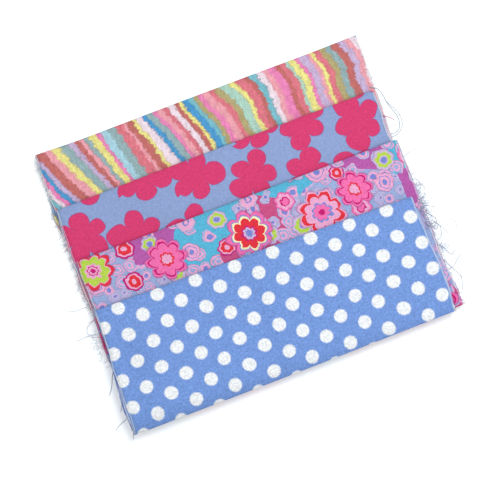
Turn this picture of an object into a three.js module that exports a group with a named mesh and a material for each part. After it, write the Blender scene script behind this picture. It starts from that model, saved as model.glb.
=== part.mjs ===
// A bundle of four quarter-yard cuts of quilting cotton. Each cut is a strip folded
// back and forth into a flat pad, and the pads are stacked with their front folds in
// line, the deepest at the bottom, so that a band of each shows behind the one above.
//
// Millimetres. X runs along the cut's nine-inch side, +Y is the back, +Z is up.
import * as THREE from 'three';

// ---- Sizes shared by all four cuts -------------------------------------------------
const SHEET = 1.0; // thickness of one layer of cloth
const LAYER_GAP = 0.15; // air between two layers of one cut
const CUT_GAP = 0.3; // air between one cut and the next
const PITCH = SHEET + LAYER_GAP;

const ACROSS_STEPS = 8; // facets across the nine-inch side
const DEPTH_STEP = 32; // longest facet along a flat layer
const TURN_STEPS = 6; // facets round a fold

// The pads aren't dead flat: the cloth swells and sinks by a few per cent of its height.
const SWELLS = [
  { rise: 0.022, alongX: 210, alongY: 330, phase: 0.6 },
  { rise: 0.012, alongX: -160, alongY: 140, phase: 2.1 },
];

// ---- The four cuts, bottom one first -----------------------------------------------
// corners: the top layer's outline, as [x, y]
// bows:    how far the middle of each edge stands out of a straight line
// turns:   in the order in which the cloth runs: its inner end, each fold and its outer
//          end; shift is how far the raw ends lie to the right there, and setback is
//          how far that fold or end stays inside the pad's edge
const CUTS = [
  {
    name: 'stripe_cloth',
    colour: 0xd9a39c,
    layers: 3,
    corners: {
      backLeft: [-117.5, 102.0],
      backRight: [120.5, 104.5],
      frontRight: [115.0, -100.5],
      frontLeft: [-118.5, -102.5],
    },
    bows: { back: 0.4, right: -1.2, front: -0.4, left: -0.3 },
    turns: [
      { shift: -1.4, setback: 2.0 },
      { shift: 0, setback: 0 },
      { shift: 0, setback: 0 },
      { shift: -2.4, setback: 1.6 },
    ],
  },
  {
    name: 'flower_cloth',
    colour: 0x8fa7d8,
    layers: 3,
    corners: {
      backLeft: [-117.3, 60.0],
      backRight: [116.5, 62.5],
      frontRight: [114.0, -101.0],
      frontLeft: [-117.0, -103.0],
    },
    bows: { back: 0.5, right: -0.6, front: 0.3, left: 0.3 },
    turns: [
      { shift: 1.2, setback: 3.0 },
      { shift: 0, setback: 0 },
      { shift: 0, setback: 0 },
      { shift: 1.8, setback: 1.0 },
    ],
  },
  {
    name: 'rosette_cloth',
    colour: 0xc98fc0,
    layers: 3,
    corners: {
      backLeft: [-116.0, 20.5],
      backRight: [118.5, 23.0],
      frontRight: [117.0, -101.5],
      frontLeft: [-117.5, -103.5],
    },
    bows: { back: -0.4, right: -0.9, front: 0.4, left: 0.5 },
    turns: [
      { shift: -1.5, setback: 2.5 },
      { shift: 0, setback: 0 },
      { shift: 0, setback: 0 },
      { shift: -1.9, setback: 1.4 },
    ],
  },
  {
    name: 'dot_cloth',
    colour: 0x7098dd,
    layers: 4,
    corners: {
      backLeft: [-116.6, -17.0],
      backRight: [112.0, -19.6],
      frontRight: [110.2, -103.4],
      frontLeft: [-119.7, -105.0],
    },
    bows: { back: 0.4, right: 0.4, front: 0.5, left: -0.2 },
    turns: [
      { shift: -0.8, setback: 1.8 },
      { shift: -1.5, setback: 0 },
      { shift: 0, setback: 0 },
      { shift: 0, setback: 0 },
      { shift: 0.9, setback: 1.2 },
    ],
  },
];

// ---- The fold plan -----------------------------------------------------------------
// A pad is seen from its left end, in the plane of y and z. A layer lies in one of the
// levels 0 (lowest) to top. The cloth starts inside on level 1, runs back and forth
// up to the top, turns down round the front of the pad and ends under it on level 0.

const padHeight = (cut) => cut.layers * SHEET + (cut.layers - 1) * LAYER_GAP;

const levelHeight = (cut, level) => cut.base + SHEET / 2 + level * PITCH;

/** The radius and the middle height of the fold that joins two levels. */
function foldBetween(cut, from, to) {
  const low = levelHeight(cut, Math.min(from, to));
  const high = levelHeight(cut, Math.max(from, to));
  return { radius: (high - low) / 2, height: (high + low) / 2 };
}

/** How far behind the pad's front edge a fold or end inside the wrap has its centre. */
function insideWrap(cut, height, reach, halfThickness) {
  const wrap = foldBetween(cut, cut.layers - 1, 0);
  const room = wrap.radius - SHEET / 2 - LAYER_GAP - reach;
  const offCentre = Math.abs(height - wrap.height) + halfThickness;
  const forward = room > offCentre ? Math.sqrt(room * room - offCentre * offCentre) : 0;
  return wrap.radius + SHEET / 2 - forward;
}

/**
 * The stops of the cloth's centre line in running order. Each has the side it lies on,
 * how far its centre is from that edge, its shift, and the levels that it joins.
 */
function stopsOf(cut) {
  const top = cut.layers - 1;
  const towardsFront = (level) => (top - level) % 2 === 0;
  const startsAtBack = towardsFront(1);
  const stops = [];
  const [innerEnd, ...rest] = cut.turns;
  stops.push({
    atBack: startsAtBack,
    inset: startsAtBack ? 0 : insideWrap(cut, levelHeight(cut, 1), 0, SHEET / 2),
    ...innerEnd,
  });
  for (let level = 1; level < top; level += 1) {
    const fold = foldBetween(cut, level, level + 1);
    const outside = fold.radius + SHEET / 2;
    const atBack = !towardsFront(level);
    const inset = atBack ? outside : insideWrap(cut, fold.height, outside, 0);
    stops.push({ atBack, inset, fold, ...rest[level - 1] });
  }
  const wrap = foldBetween(cut, top, 0);
  const wrapInset = wrap.radius + SHEET / 2;
  stops.push({ atBack: false, inset: wrapInset, fold: wrap, down: true, ...rest[top - 1] });
  stops.push({ atBack: true, inset: 0, ...rest[top] });
  return stops;
}

/** One point of the centre line: depth is 0 at the front edge and 1 at the back edge. */
function linePoint(depth, offset, height, heading, shift) {
  const normal = new THREE.Vector2(-Math.sin(heading), Math.cos(heading));
  return { depth, offset, height, normal, shift };
}

/** The points round a fold, with the heading turning by half a circle. */
function foldPoints(stop) {
  const { radius, height } = stop.fold;
  const start = stop.atBack ? 0 : Math.PI;
  const sweep = stop.atBack || stop.down ? Math.PI : -Math.PI;
  const centreSide = Math.sign(sweep);
  const points = [];
  for (let i = 0; i <= TURN_STEPS; i += 1) {
    const heading = start + (sweep * i) / TURN_STEPS;
    const point = linePoint(stop.depth, stop.offset, height, heading, stop.shift);
    point.offset -= centreSide * radius * point.normal.x;
    point.height -= centreSide * radius * point.normal.y;
    points.push(point);
  }
  return points;
}

/** The inner points of the flat layer between two stops. */
function layerPoints(from, to, height, steps) {
  const heading = to.atBack ? 0 : Math.PI;
  const points = [];
  for (let i = 1; i < steps; i += 1) {
    const t = i / steps;
    const depth = THREE.MathUtils.lerp(from.depth, to.depth, t);
    const offset = THREE.MathUtils.lerp(from.offset, to.offset, t);
    const shift = THREE.MathUtils.lerp(from.shift, to.shift, t);
    points.push(linePoint(depth, offset, height, heading, shift));
  }
  return points;
}

/** The whole centre line of a cut, from its inner end to its outer end. */
function centreLine(cut) {
  const { backLeft, frontLeft } = cut.corners;
  const depthSteps = Math.ceil((backLeft[1] - frontLeft[1]) / DEPTH_STEP);
  const stops = stopsOf(cut).map((stop) => {
    const inward = stop.inset + stop.setback;
    return { ...stop, depth: stop.atBack ? 1 : 0, offset: stop.atBack ? -inward : inward };
  });
  const levels = [...Array(cut.layers - 1).keys()].map((i) => i + 1).concat(0);
  const points = [];
  levels.forEach((level, i) => {
    const [from, to] = [stops[i], stops[i + 1]];
    const height = levelHeight(cut, level);
    const heading = to.atBack ? 0 : Math.PI;
    if (i === 0) {
      points.push(linePoint(from.depth, from.offset, height, heading, from.shift));
    }
    points.push(...layerPoints(from, to, height, depthSteps));
    if (to.fold) {
      points.push(...foldPoints(to));
    } else {
      points.push(linePoint(to.depth, to.offset, height, heading, to.shift));
    }
  });
  return points;
}

// ---- From the fold plan to a solid -------------------------------------------------

/** A straight edge from a to b, bowed out in the middle. */
const bowed = (a, b, bow, t) => THREE.MathUtils.lerp(a, b, t) + 4 * bow * t * (1 - t);

/** How far the swells lift a point at x and y, as a share of its height. */
function swell(x, y) {
  return SWELLS.reduce(
    (sum, s) => sum + s.rise * Math.sin(2 * Math.PI * (x / s.alongX + y / s.alongY) + s.phase),
    0,
  );
}

/** A point of the cloth's face: across is 0 at the left raw end and 1 at the right. */
function facePoint(cut, point, across, outward) {
  const { backLeft, backRight, frontLeft, frontRight } = cut.corners;
  const { bows } = cut;
  const front = bowed(frontLeft[1], frontRight[1], -bows.front, across);
  const back = bowed(backLeft[1], backRight[1], bows.back, across);
  const left = bowed(frontLeft[0], backLeft[0], -bows.left, point.depth);
  const right = bowed(frontRight[0], backRight[0], bows.right, point.depth);
  const x = THREE.MathUtils.lerp(left, right, across) + point.shift;
  const y = THREE.MathUtils.lerp(front, back, point.depth) + point.offset + outward * point.normal.x;
  const z = point.height + outward * point.normal.y;
  return new THREE.Vector3(x, y, z * (1 + swell(x, y)));
}

/** The closed body of a cut: its two faces, its two raw ends and its two selvages. */
function clothGeometry(cut) {
  const line = centreLine(cut);
  const positions = [];
  for (let j = 0; j <= ACROSS_STEPS; j += 1) {
    for (const point of line) {
      for (const outward of [SHEET / 2, -SHEET / 2]) {
        positions.push(...facePoint(cut, point, j / ACROSS_STEPS, outward).toArray());
      }
    }
  }
  const index = [];
  const at = (j, i, face) => 2 * (j * line.length + i) + face;
  const quad = (a, b, c, d) => index.push(a, b, c, a, c, d);
  const last = line.length - 1;
  for (let j = 0; j < ACROSS_STEPS; j += 1) {
    for (let i = 0; i < last; i += 1) {
      quad(at(j, i, 0), at(j + 1, i, 0), at(j + 1, i + 1, 0), at(j, i + 1, 0));
      quad(at(j, i, 1), at(j, i + 1, 1), at(j + 1, i + 1, 1), at(j + 1, i, 1));
    }
    quad(at(j, 0, 0), at(j, 0, 1), at(j + 1, 0, 1), at(j + 1, 0, 0));
    quad(at(j, last, 0), at(j + 1, last, 0), at(j + 1, last, 1), at(j, last, 1));
  }
  for (let i = 0; i < last; i += 1) {
    quad(at(0, i, 0), at(0, i + 1, 0), at(0, i + 1, 1), at(0, i, 1));
    const end = ACROSS_STEPS;
    quad(at(end, i, 0), at(end, i, 1), at(end, i + 1, 1), at(end, i + 1, 0));
  }
  const geometry = new THREE.BufferGeometry();
  geometry.setAttribute('position', new THREE.Float32BufferAttribute(positions, 3));
  geometry.setIndex(index);
  geometry.computeVertexNormals();
  return geometry;
}

// ---- The bundle --------------------------------------------------------------------

/** Stacks the pads and gives each its mesh. */
function buildBundle() {
  const bundle = new THREE.Group();
  let base = 0;
  for (const cut of CUTS) {
    const placed = { ...cut, base };
    const material = new THREE.MeshStandardMaterial({ color: cut.colour, roughness: 0.9, metalness: 0 });
    const mesh = new THREE.Mesh(clothGeometry(placed), material);
    mesh.name = cut.name;
    bundle.add(mesh);
    base += padHeight(cut) + CUT_GAP;
  }
  const centre = new THREE.Box3().setFromObject(bundle).getCenter(new THREE.Vector3());
  bundle.position.set(-centre.x, -centre.y, 0);
  return bundle;
}

export default buildBundle();
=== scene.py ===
"""The looks of a bundle of four quarter-yard cuts of quilting cotton.

Each cut is one thin sheet, folded back and forth into a flat pad. The four pads lie on
each other with their front folds in line, and a band of each print shows behind the one
above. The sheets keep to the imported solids' outline, levels and front folds, with all
the layers that a 44 inch length of cloth makes. Loose threads stand out of their raw ends.

Sizes are in millimetres and turn into metres as the meshes are filled. X runs along the
nine-inch side, +Y is the back, +Z is up.
"""

import logging
import math
from abc import ABC, abstractmethod
from dataclasses import dataclass, field
from enum import Enum
from functools import partialmethod, reduce
from typing import Any, Iterable

import bpy
import numpy as np
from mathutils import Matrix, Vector


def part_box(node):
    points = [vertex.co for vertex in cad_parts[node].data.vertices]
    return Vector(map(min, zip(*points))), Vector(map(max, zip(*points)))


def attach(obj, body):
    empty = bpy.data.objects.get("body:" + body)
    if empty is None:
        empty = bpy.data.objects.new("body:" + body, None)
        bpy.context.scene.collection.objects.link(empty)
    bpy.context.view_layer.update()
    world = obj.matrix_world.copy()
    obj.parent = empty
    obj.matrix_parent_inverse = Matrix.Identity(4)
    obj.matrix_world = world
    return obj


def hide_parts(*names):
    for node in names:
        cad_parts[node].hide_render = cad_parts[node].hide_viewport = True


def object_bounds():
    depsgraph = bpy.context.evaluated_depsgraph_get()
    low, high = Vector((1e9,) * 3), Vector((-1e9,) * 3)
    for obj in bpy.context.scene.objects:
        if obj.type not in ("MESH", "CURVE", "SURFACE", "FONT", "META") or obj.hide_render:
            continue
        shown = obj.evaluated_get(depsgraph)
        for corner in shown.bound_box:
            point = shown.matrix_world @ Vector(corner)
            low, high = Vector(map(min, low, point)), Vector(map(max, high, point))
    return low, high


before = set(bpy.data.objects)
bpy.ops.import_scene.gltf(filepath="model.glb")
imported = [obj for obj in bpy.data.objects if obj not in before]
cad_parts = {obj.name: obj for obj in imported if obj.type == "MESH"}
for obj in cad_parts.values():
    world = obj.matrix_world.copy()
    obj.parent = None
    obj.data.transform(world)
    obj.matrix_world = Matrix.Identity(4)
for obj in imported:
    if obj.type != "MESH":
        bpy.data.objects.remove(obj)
CAD_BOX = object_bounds()

LOG = logging.getLogger("bundle")
MM = 0.001  # metres in a millimetre
FULL_TURN = 2 * math.pi
TINY = 1e-9  # keeps a division by zero away
NEARLY_UP = (0.05, 0.02, 1.0)  # a direction that no thread runs in
SHARP = 0.001  # softness of a mask with a hard edge
BELOW_ONE = 0.999  # keeps the highest tone inside the last dye's band
WHITE_LIGHT = (1, 1, 1, 1)
LEFT, FRONT, _ = np.array(CAD_BOX[0]) / MM
RIGHT = CAD_BOX[1][0] / MM

Numbers = np.ndarray
Inputs = dict[Any, Any]
Point = tuple[float, float, float]


# ---- Small helpers for arrays -----------------------------------------------------------


def blend(a: Any, b: Any, share: Any) -> Any:
    """The straight mix of a and b: a at share 0 and b at share 1."""
    return a + (b - a) * share


def bowed(a: Any, b: Any, bow: float, share: Any) -> Any:
    """A straight line from a to b whose middle stands out by bow, as a parabola."""
    return blend(a, b, share) + 4 * bow * share * (1 - share)


def bell(distance: Numbers, reach: Any) -> Numbers:
    """A bell curve: 1 at no distance, and about a third where the distance is the reach."""
    return np.exp(-((distance / reach) ** 2))


# ---- Relief of the whole bundle ---------------------------------------------------------


@dataclass(frozen=True)
class Swell:
    """One long wave of the bundle's height: a share of the height, and its wavelengths."""

    rise: float
    along_x: float
    along_y: float
    phase: float

    def share(self, x: Numbers, y: Numbers) -> Numbers:
        """rise times the sine of the turns made along x and along y, plus the phase."""
        return self.rise * np.sin(FULL_TURN * (x / self.along_x + y / self.along_y) + self.phase)


@dataclass(frozen=True)
class Trough:
    """A soft trough, or a ridge where its depth is below zero, along a stretch or at a point."""

    start: tuple[float, float]
    end: tuple[float, float]
    width: float
    depth: float

    def drop(self, x: Numbers, y: Numbers) -> Numbers:
        """depth times a bell curve of the distance from the stretch, width wide.

        Args:
            x: places along the nine-inch side.
            y: places from front to back.

        Returns:
            How far each place sinks.
        """
        (ax, ay), (bx, by) = self.start, self.end
        dx, dy = bx - ax, by - ay
        square = (dx * dx + dy * dy) or 1.0
        along = np.clip(((x - ax) * dx + (y - ay) * dy) / square, 0, 1)
        return self.depth * bell(np.hypot(x - ax - along * dx, y - ay - along * dy), self.width)


@dataclass(frozen=True)
class Relief:
    """How the stacked layers rise and sink together, so that none cuts through another."""

    swells: tuple[Swell, ...] = (
        Swell(0.022, 210, 330, 0.6),
        Swell(0.012, -160, 140, 2.1),
    )
    troughs: tuple[Trough, ...] = (
        Trough((-9, -20), (-10, -98), 5, 0.3),
        Trough((-101, -50), (-99, -64), 8, 0.4),
        Trough((-107, -84), (-104, -98), 8, 0.25),
        Trough((-48, -20), (-41, -50), 7, 0.12),
        Trough((32, -26), (37, -46), 6, 0.12),
        Trough((-27, -42), (-37, -84), 9, -0.16),
        Trough((70, -30), (88, -75), 11, -0.14),
        Trough((-92, 88), (-78, 66), 6, 0.18),
        Trough((-20, 98), (-8, 64), 7, 0.16),
        Trough((62, 94), (70, 66), 8, -0.12),
        Trough((-70, 52), (-52, 26), 7, 0.18),
        Trough((30, 54), (22, 26), 8, 0.14),
        Trough((92, 50), (98, 24), 7, -0.13),
        Trough((-60, 14), (-70, -12), 6, 0.12),
        Trough((48, 12), (60, -14), 7, -0.12),
    )
    corners: tuple[Trough, ...] = (  # they stand off the floor with all the layers
        Trough((-120, 106), (-120, 106), 24, -4.5),
        Trough((122, 106), (122, 106), 20, -2.0),
    )
    droop: tuple[float, float] = (0.07, 0.2)  # share of the height lost at the front's ends
    droop_reach: tuple[float, float] = (7.0, 30.0)  # at the left and at the right
    full_at: float = 3.0  # height from which a layer takes the troughs in full
    dimming: float = 0.14  # painted shade: how much darker a trough is painted for each millimetre of depth
    front_dimming: tuple[float, float] = (0.15, 0.05)  # painted shade where the front bends away from the light, at the left and right
    front_reach: float = 6.5

    def lift(self, x: Numbers, y: Numbers, z: Numbers) -> Numbers:
        """The height of a point that would be at z in a dead flat bundle.

        z times one plus the swells and less the droop, which is a bell curve of the
        distance from the front, then less the troughs in proportion to z up to full_at,
        and plus the raised corners.

        Args:
            x: places along the nine-inch side.
            y: places from front to back.
            z: heights before the relief.

        Returns:
            The heights with the relief.
        """
        across = self._across(x) ** 2
        droop = blend(*self.droop, across) * bell(y - FRONT, blend(*self.droop_reach, across))
        drop = sum(trough.drop(x, y) for trough in self.troughs)
        lift = sum(-corner.drop(x, y) for corner in self.corners)
        return z * (self._swelling(x, y) - droop) - drop * np.clip(z / self.full_at, 0, 1) + lift

    def hollow(self, x: Numbers, y: Numbers) -> Numbers:
        """The painted shade at a place: how much darker the cloth is painted, as a share.

        Painted shade in the troughs, their depth times the dimming, and painted shade by a bell
        curve of the distance from the front, where the cloth bends down away from the light.

        Args:
            x: places along the nine-inch side.
            y: places from front to back.

        Returns:
            The shares, from 0 to 1.
        """
        depth = sum(trough.drop(x, y) for trough in self.troughs)
        front = blend(*self.front_dimming, self._across(x)) * bell(y - FRONT, self.front_reach)
        return np.clip(depth * self.dimming + front, 0, 1)

    def flat_height(self, x: Numbers, y: Numbers, z: Numbers) -> Numbers:
        """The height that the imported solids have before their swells."""
        return z / self._swelling(x, y)

    def _swelling(self, x: Numbers, y: Numbers) -> Numbers:
        """One plus all the swells."""
        return 1 + sum(swell.share(x, y) for swell in self.swells)

    @staticmethod
    def _across(x: Numbers) -> Numbers:
        """How far a place lies from the left side, 0, to the right side, 1."""
        return np.clip((x - LEFT) / (RIGHT - LEFT), 0, 1)


RELIEF = Relief()


# ---- Meshes from arrays -----------------------------------------------------------------


def link(name: str, data: Any) -> bpy.types.Object:
    """Makes an object and puts it in the scene.

    Args:
        name: the object's name.
        data: its mesh, light or camera.

    Returns:
        The object.
    """
    made = bpy.data.objects.new(name, data)
    bpy.context.scene.collection.objects.link(made)
    return made


def fill_mesh(name: str, points: Numbers, faces: Iterable[Numbers]) -> bpy.types.Object:
    """Makes an object at the origin from points in millimetres.

    Args:
        name: the object's and the mesh's name.
        points: one row of x, y and z for each vertex.
        faces: arrays of vertex numbers, each array with faces of one number of corners.

    Returns:
        The object, linked to the scene.
    """
    mesh = bpy.data.meshes.new(name)
    corners = [row for block in faces for row in block.tolist()]
    mesh.from_pydata((points * MM).tolist(), [], corners)
    mesh.update()
    return link(name, mesh)


def store(mesh: bpy.types.Mesh, name: str, values: Numbers) -> None:
    """Stores one number for each vertex under a name that the materials read."""
    attribute = mesh.attributes.new(name, "FLOAT", "POINT")
    attribute.data.foreach_set("value", values.astype(np.float32).ravel())


def store_map(mesh: bpy.types.Mesh, name: str, spots: Numbers) -> None:
    """Stores a UV map in metres.

    Args:
        mesh: the cloth's mesh.
        name: the map's name.
        spots: each vertex's place in the flat cloth, in millimetres.
    """
    loops = np.empty(len(mesh.loops), np.int32)
    mesh.loops.foreach_get("vertex_index", loops)
    layer = mesh.uv_layers.new(name=name)
    layer.data.foreach_set("uv", (spots * MM)[loops].astype(np.float32).ravel())


def grid_quads(columns: int, rows: int, first: int, turned: bool) -> Numbers:
    """The faces of a grid whose vertices are numbered row by row within each column.

    Args:
        columns: how many columns of vertices the grid has.
        rows: how many vertices a column has.
        first: the number of its first vertex.
        turned: whether the faces look the other way.

    Returns:
        One row of four vertex numbers for each face.
    """
    column, row = np.meshgrid(np.arange(columns - 1), np.arange(rows - 1), indexing="ij")
    corner = (first + column * rows + row).ravel()
    quads = np.stack([corner, corner + 1, corner + rows + 1, corner + rows], axis=1)
    return quads[:, ::-1] if turned else quads


def rim_quads(upper: Numbers, lower: Numbers) -> Numbers:
    """The faces between two equal lines of vertices, one face for each pair of steps."""
    return np.stack([upper[:-1], lower[:-1], lower[1:], upper[1:]], axis=1)


def unit(vectors: Numbers) -> Numbers:
    """The vectors along the last axis, each with the length 1."""
    return vectors / (np.linalg.norm(vectors, axis=-1, keepdims=True) + TINY)


def tubes(paths: Numbers, radii: Numbers, sides: int) -> tuple[Numbers, list[Numbers]]:
    """Closed tubes along many paths at once, each drawn out to a point at both ends.

    A ring lies round each path point, in the plane square to the path there: the point
    plus the radius times the cosine and sine of the ring's angle along two square directions.

    Args:
        paths: the paths' points, as tube by point by x, y and z.
        radii: the radius at each of these points.
        sides: how many sides a tube has.

    Returns:
        The vertices, and the arrays of faces.
    """
    count, steps, _ = paths.shape
    heading = unit(np.gradient(paths, axis=1))
    beside = unit(np.cross(heading, NEARLY_UP))
    above = np.cross(beside, heading)
    angle = FULL_TURN * np.arange(sides) / sides
    ring = beside[:, :, None] * np.cos(angle)[:, None] + above[:, :, None] * np.sin(angle)[:, None]
    body = (paths[:, :, None] + ring * radii[:, :, None, None]).reshape(count, -1, 3)
    root = paths[:, :1] - heading[:, :1] * radii[:, :1, None]
    tip = paths[:, -1:] + heading[:, -1:] * radii[:, -1:, None]
    points = np.concatenate([root, body, tip], axis=1)
    each = points.shape[1]
    start = (np.arange(count) * each)[:, None, None]
    turn = np.arange(sides)
    onward = (turn + 1) % sides
    ring_start = 1 + np.arange(steps - 1)[:, None] * sides
    here, beside = ring_start + turn, ring_start + onward
    quad = np.stack([here, here + sides, beside + sides, beside], axis=-1).reshape(1, -1, 4)
    last = 1 + (steps - 1) * sides
    root_fan = np.stack([np.zeros(sides, int), 1 + turn, 1 + onward], axis=1)
    tip_fan = np.stack([np.full(sides, each - 1), last + onward, last + turn], axis=1)
    fans = np.concatenate([root_fan, tip_fan])[None]
    return points.reshape(-1, 3), [(start + quad).reshape(-1, 4), (start + fans).reshape(-1, 3)]


# ---- Shader trees -----------------------------------------------------------------------


@dataclass(frozen=True)
class Signal:
    """A value, vector or colour in a shader tree. Arithmetic on it adds Math nodes."""

    graph: "Graph"
    socket: bpy.types.NodeSocket

    def call(self, operation: str, *others: Any) -> "Signal":
        """A Math node, or a Vector Math node for a vector, with this signal first.

        Args:
            operation: what the node does.
            others: its other inputs.

        Returns:
            The node's result.
        """
        if self.socket.type == "VECTOR":
            return self.graph.vector_math(operation, self, *others)
        return self.graph.math(operation, self, *others)

    __add__ = partialmethod(call, "ADD")
    __sub__ = partialmethod(call, "SUBTRACT")
    __mul__ = partialmethod(call, "MULTIPLY")
    __truediv__ = partialmethod(call, "DIVIDE")

    def __rsub__(self, other: float) -> "Signal":
        """A plain number less this value."""
        return self.graph.math("SUBTRACT", other, self)

    def __rtruediv__(self, other: float) -> "Signal":
        """A plain number over this value."""
        return self.graph.math("DIVIDE", other, self)

    def scaled(self, factor: Any, plus: Any) -> "Signal":
        """The factor times the value, plus a number."""
        return self.graph.math("MULTIPLY_ADD", self, factor, plus)

    def length(self) -> "Signal":
        """The length of a vector."""
        return self.graph.vector_math("LENGTH", self, output="Value")

    def parts(self) -> tuple["Signal", "Signal"]:
        """The x and the y of a vector."""
        split = self.graph.node("ShaderNodeSeparateXYZ", {0: self})
        return self.graph.out(split, 0), self.graph.out(split, 1)

    def below(self, limit: Any, softness: float) -> "Signal":
        """A mask: 1 where the value is below the limit, turning to 0 over the softness."""
        gap = self.graph.math("SUBTRACT", limit, self)
        return self.graph.math("MULTIPLY_ADD", gap, 1 / softness, 0.5, clamp=True)


class Graph:
    """Adds nodes to one shader tree and joins them."""

    def __init__(self, tree: bpy.types.NodeTree) -> None:
        """Keeps the tree that the nodes go to."""
        self.tree = tree

    def node(self, kind: str, inputs: Inputs | None = None, **settings: Any) -> bpy.types.Node:
        """Adds a node.

        Args:
            kind: the node's type.
            inputs: signals or plain values, by the input's name or number.
            settings: the node's own settings.

        Returns:
            The node.
        """
        made = self.tree.nodes.new(kind)
        for name, value in settings.items():
            setattr(made, name, value)
        for key, value in (inputs or {}).items():
            socket = made.inputs[key]
            if isinstance(value, Signal):
                self.tree.links.new(value.socket, socket)
            else:
                three = socket.type == "VECTOR" and isinstance(value, (int, float))
                socket.default_value = (value,) * 3 if three else value
        return made

    def out(self, made: bpy.types.Node, key: Any = 0) -> Signal:
        """One output of a node."""
        return Signal(self, made.outputs[key])

    def math(self, operation: str, *inputs: Any, clamp: bool = False) -> Signal:
        """A Math node on values."""
        settings = {"operation": operation, "use_clamp": clamp}
        return self.out(self.node("ShaderNodeMath", dict(enumerate(inputs)), **settings))

    def vector_math(self, operation: str, *inputs: Any, output: str = "Vector") -> Signal:
        """A Vector Math node."""
        made = self.node("ShaderNodeVectorMath", dict(enumerate(inputs)), operation=operation)
        return self.out(made, output)

    def vector(self, x: Any, y: Any, z: Any = 0.0) -> Signal:
        """A vector from three values."""
        return self.out(self.node("ShaderNodeCombineXYZ", {0: x, 1: y, 2: z}))

    def noise(self, place: Signal, scale: float, detail: float = 0.0, output: int = 0) -> Signal:
        """Soft noise: output 0 is a value round 0.5, and output 1 a colour of such values."""
        inputs = {"Vector": place, "Scale": scale, "Detail": detail}
        return self.out(self.node("ShaderNodeTexNoise", inputs, noise_dimensions="3D"), output)

    def mix(self, share: Any, a: Any, b: Any, kind: str = "MIX") -> Signal:
        """Two colours mixed: a at share 0, b at share 1."""
        settings = {"data_type": "RGBA", "blend_type": kind}
        return self.out(self.node("ShaderNodeMix", {0: share, 6: a, 7: b}, **settings), 2)

    def steps(self, value: Signal, bands: Iterable[tuple[float, "Dye"]]) -> Signal:
        """Bands of plain colour along a value.

        Args:
            value: where the spot lies, from 0 to 1.
            bands: where each band starts, and its dye.

        Returns:
            The band's colour.
        """
        made = self.node("ShaderNodeValToRGB", {0: value})
        ramp = made.color_ramp
        ramp.interpolation = "CONSTANT"
        for number, (start, dye) in enumerate(bands):
            stop = ramp.elements[number] if number < 2 else ramp.elements.new(start)
            stop.position = start
            stop.color = dye.rgba
        return self.out(made)

    def effect(self, kind: type["Effect"], inputs: Inputs) -> dict[str, Signal]:
        """Places an effect's node group with its own values, and returns its outputs by name."""
        made = self.node("ShaderNodeGroup", inputs, node_tree=kind.tree())
        return {label: self.out(made, label) for label in kind.outputs}

    def grey(self, value: Signal) -> Signal:
        """A vector or colour with the same value three times."""
        return self.vector(value, value, value)

    def stray(self, place: Signal, scale: float, detail: float, reach: float) -> Signal:
        """Soft noise round 0, up to half the reach either way."""
        return (self.noise(place, scale, detail, output=1) - 0.5) * reach

    def stored(self, name: str) -> Signal:
        """A number that the mesh stores for each vertex."""
        return self.out(self.node("ShaderNodeAttribute", attribute_name=name), "Fac")

    def cells(self, place: Any, scale: Any, randomness: Any) -> bpy.types.Node:
        """A flat Voronoi texture, whose colour is random for each cell."""
        inputs = {"Vector": place, "Scale": scale, "Randomness": randomness}
        return self.node("ShaderNodeTexVoronoi", inputs, voronoi_dimensions="2D", feature="F1")

    def scattered(self, place: Signal, spacing: float, scatter: float) -> dict[str, Signal]:
        """The nearest of the centres scattered over the cloth."""
        return self.effect(Scatter, {"Spot": place, "Spacing": spacing, "Scatter": scatter})

    def finish(self, end: str, kind: str, inputs: Inputs) -> None:
        """Adds the last shader and joins it to the tree's output node, whose type is end."""
        self.node(end, {"Surface": self.out(self.node(kind, inputs))})


def fresh_graph(owner: bpy.types.Material | bpy.types.World) -> Graph:
    """Empties the shader tree of a material or a world.

    Args:
        owner: what the tree belongs to.

    Returns:
        The empty tree's graph.
    """
    owner.use_nodes = True
    owner.node_tree.nodes.clear()
    return Graph(owner.node_tree)


def smallest(signals: Iterable[Signal]) -> Signal:
    """The smallest of several values."""
    return reduce(lambda least, signal: least.call("MINIMUM", signal), signals)


class Effect(ABC):
    """A shader node group that several materials use. It is built once."""

    name: str
    inputs: dict[str, str]
    outputs: dict[str, str]

    @classmethod
    def tree(cls) -> bpy.types.NodeTree:
        """Builds the group's tree at the first call.

        Returns:
            The tree.
        """
        found = bpy.data.node_groups.get(cls.name)
        if found:
            return found
        made = bpy.data.node_groups.new(cls.name, "ShaderNodeTree")
        for way, sockets in (("INPUT", cls.inputs), ("OUTPUT", cls.outputs)):
            for label, kind in sockets.items():
                made.interface.new_socket(label, in_out=way, socket_type=kind)
        graph = Graph(made)
        ins = graph.node("NodeGroupInput")
        given = {label: graph.out(ins, label) for label in cls.inputs}
        graph.node("NodeGroupOutput", cls.build(graph, given))
        return made

    @classmethod
    @abstractmethod
    def build(cls, graph: Graph, given: dict[str, Signal]) -> dict[str, Signal]:
        """Builds the nodes and returns a signal for each output."""


VALUE, VECTOR, COLOUR = "NodeSocketFloat", "NodeSocketVector", "NodeSocketColor"


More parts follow.
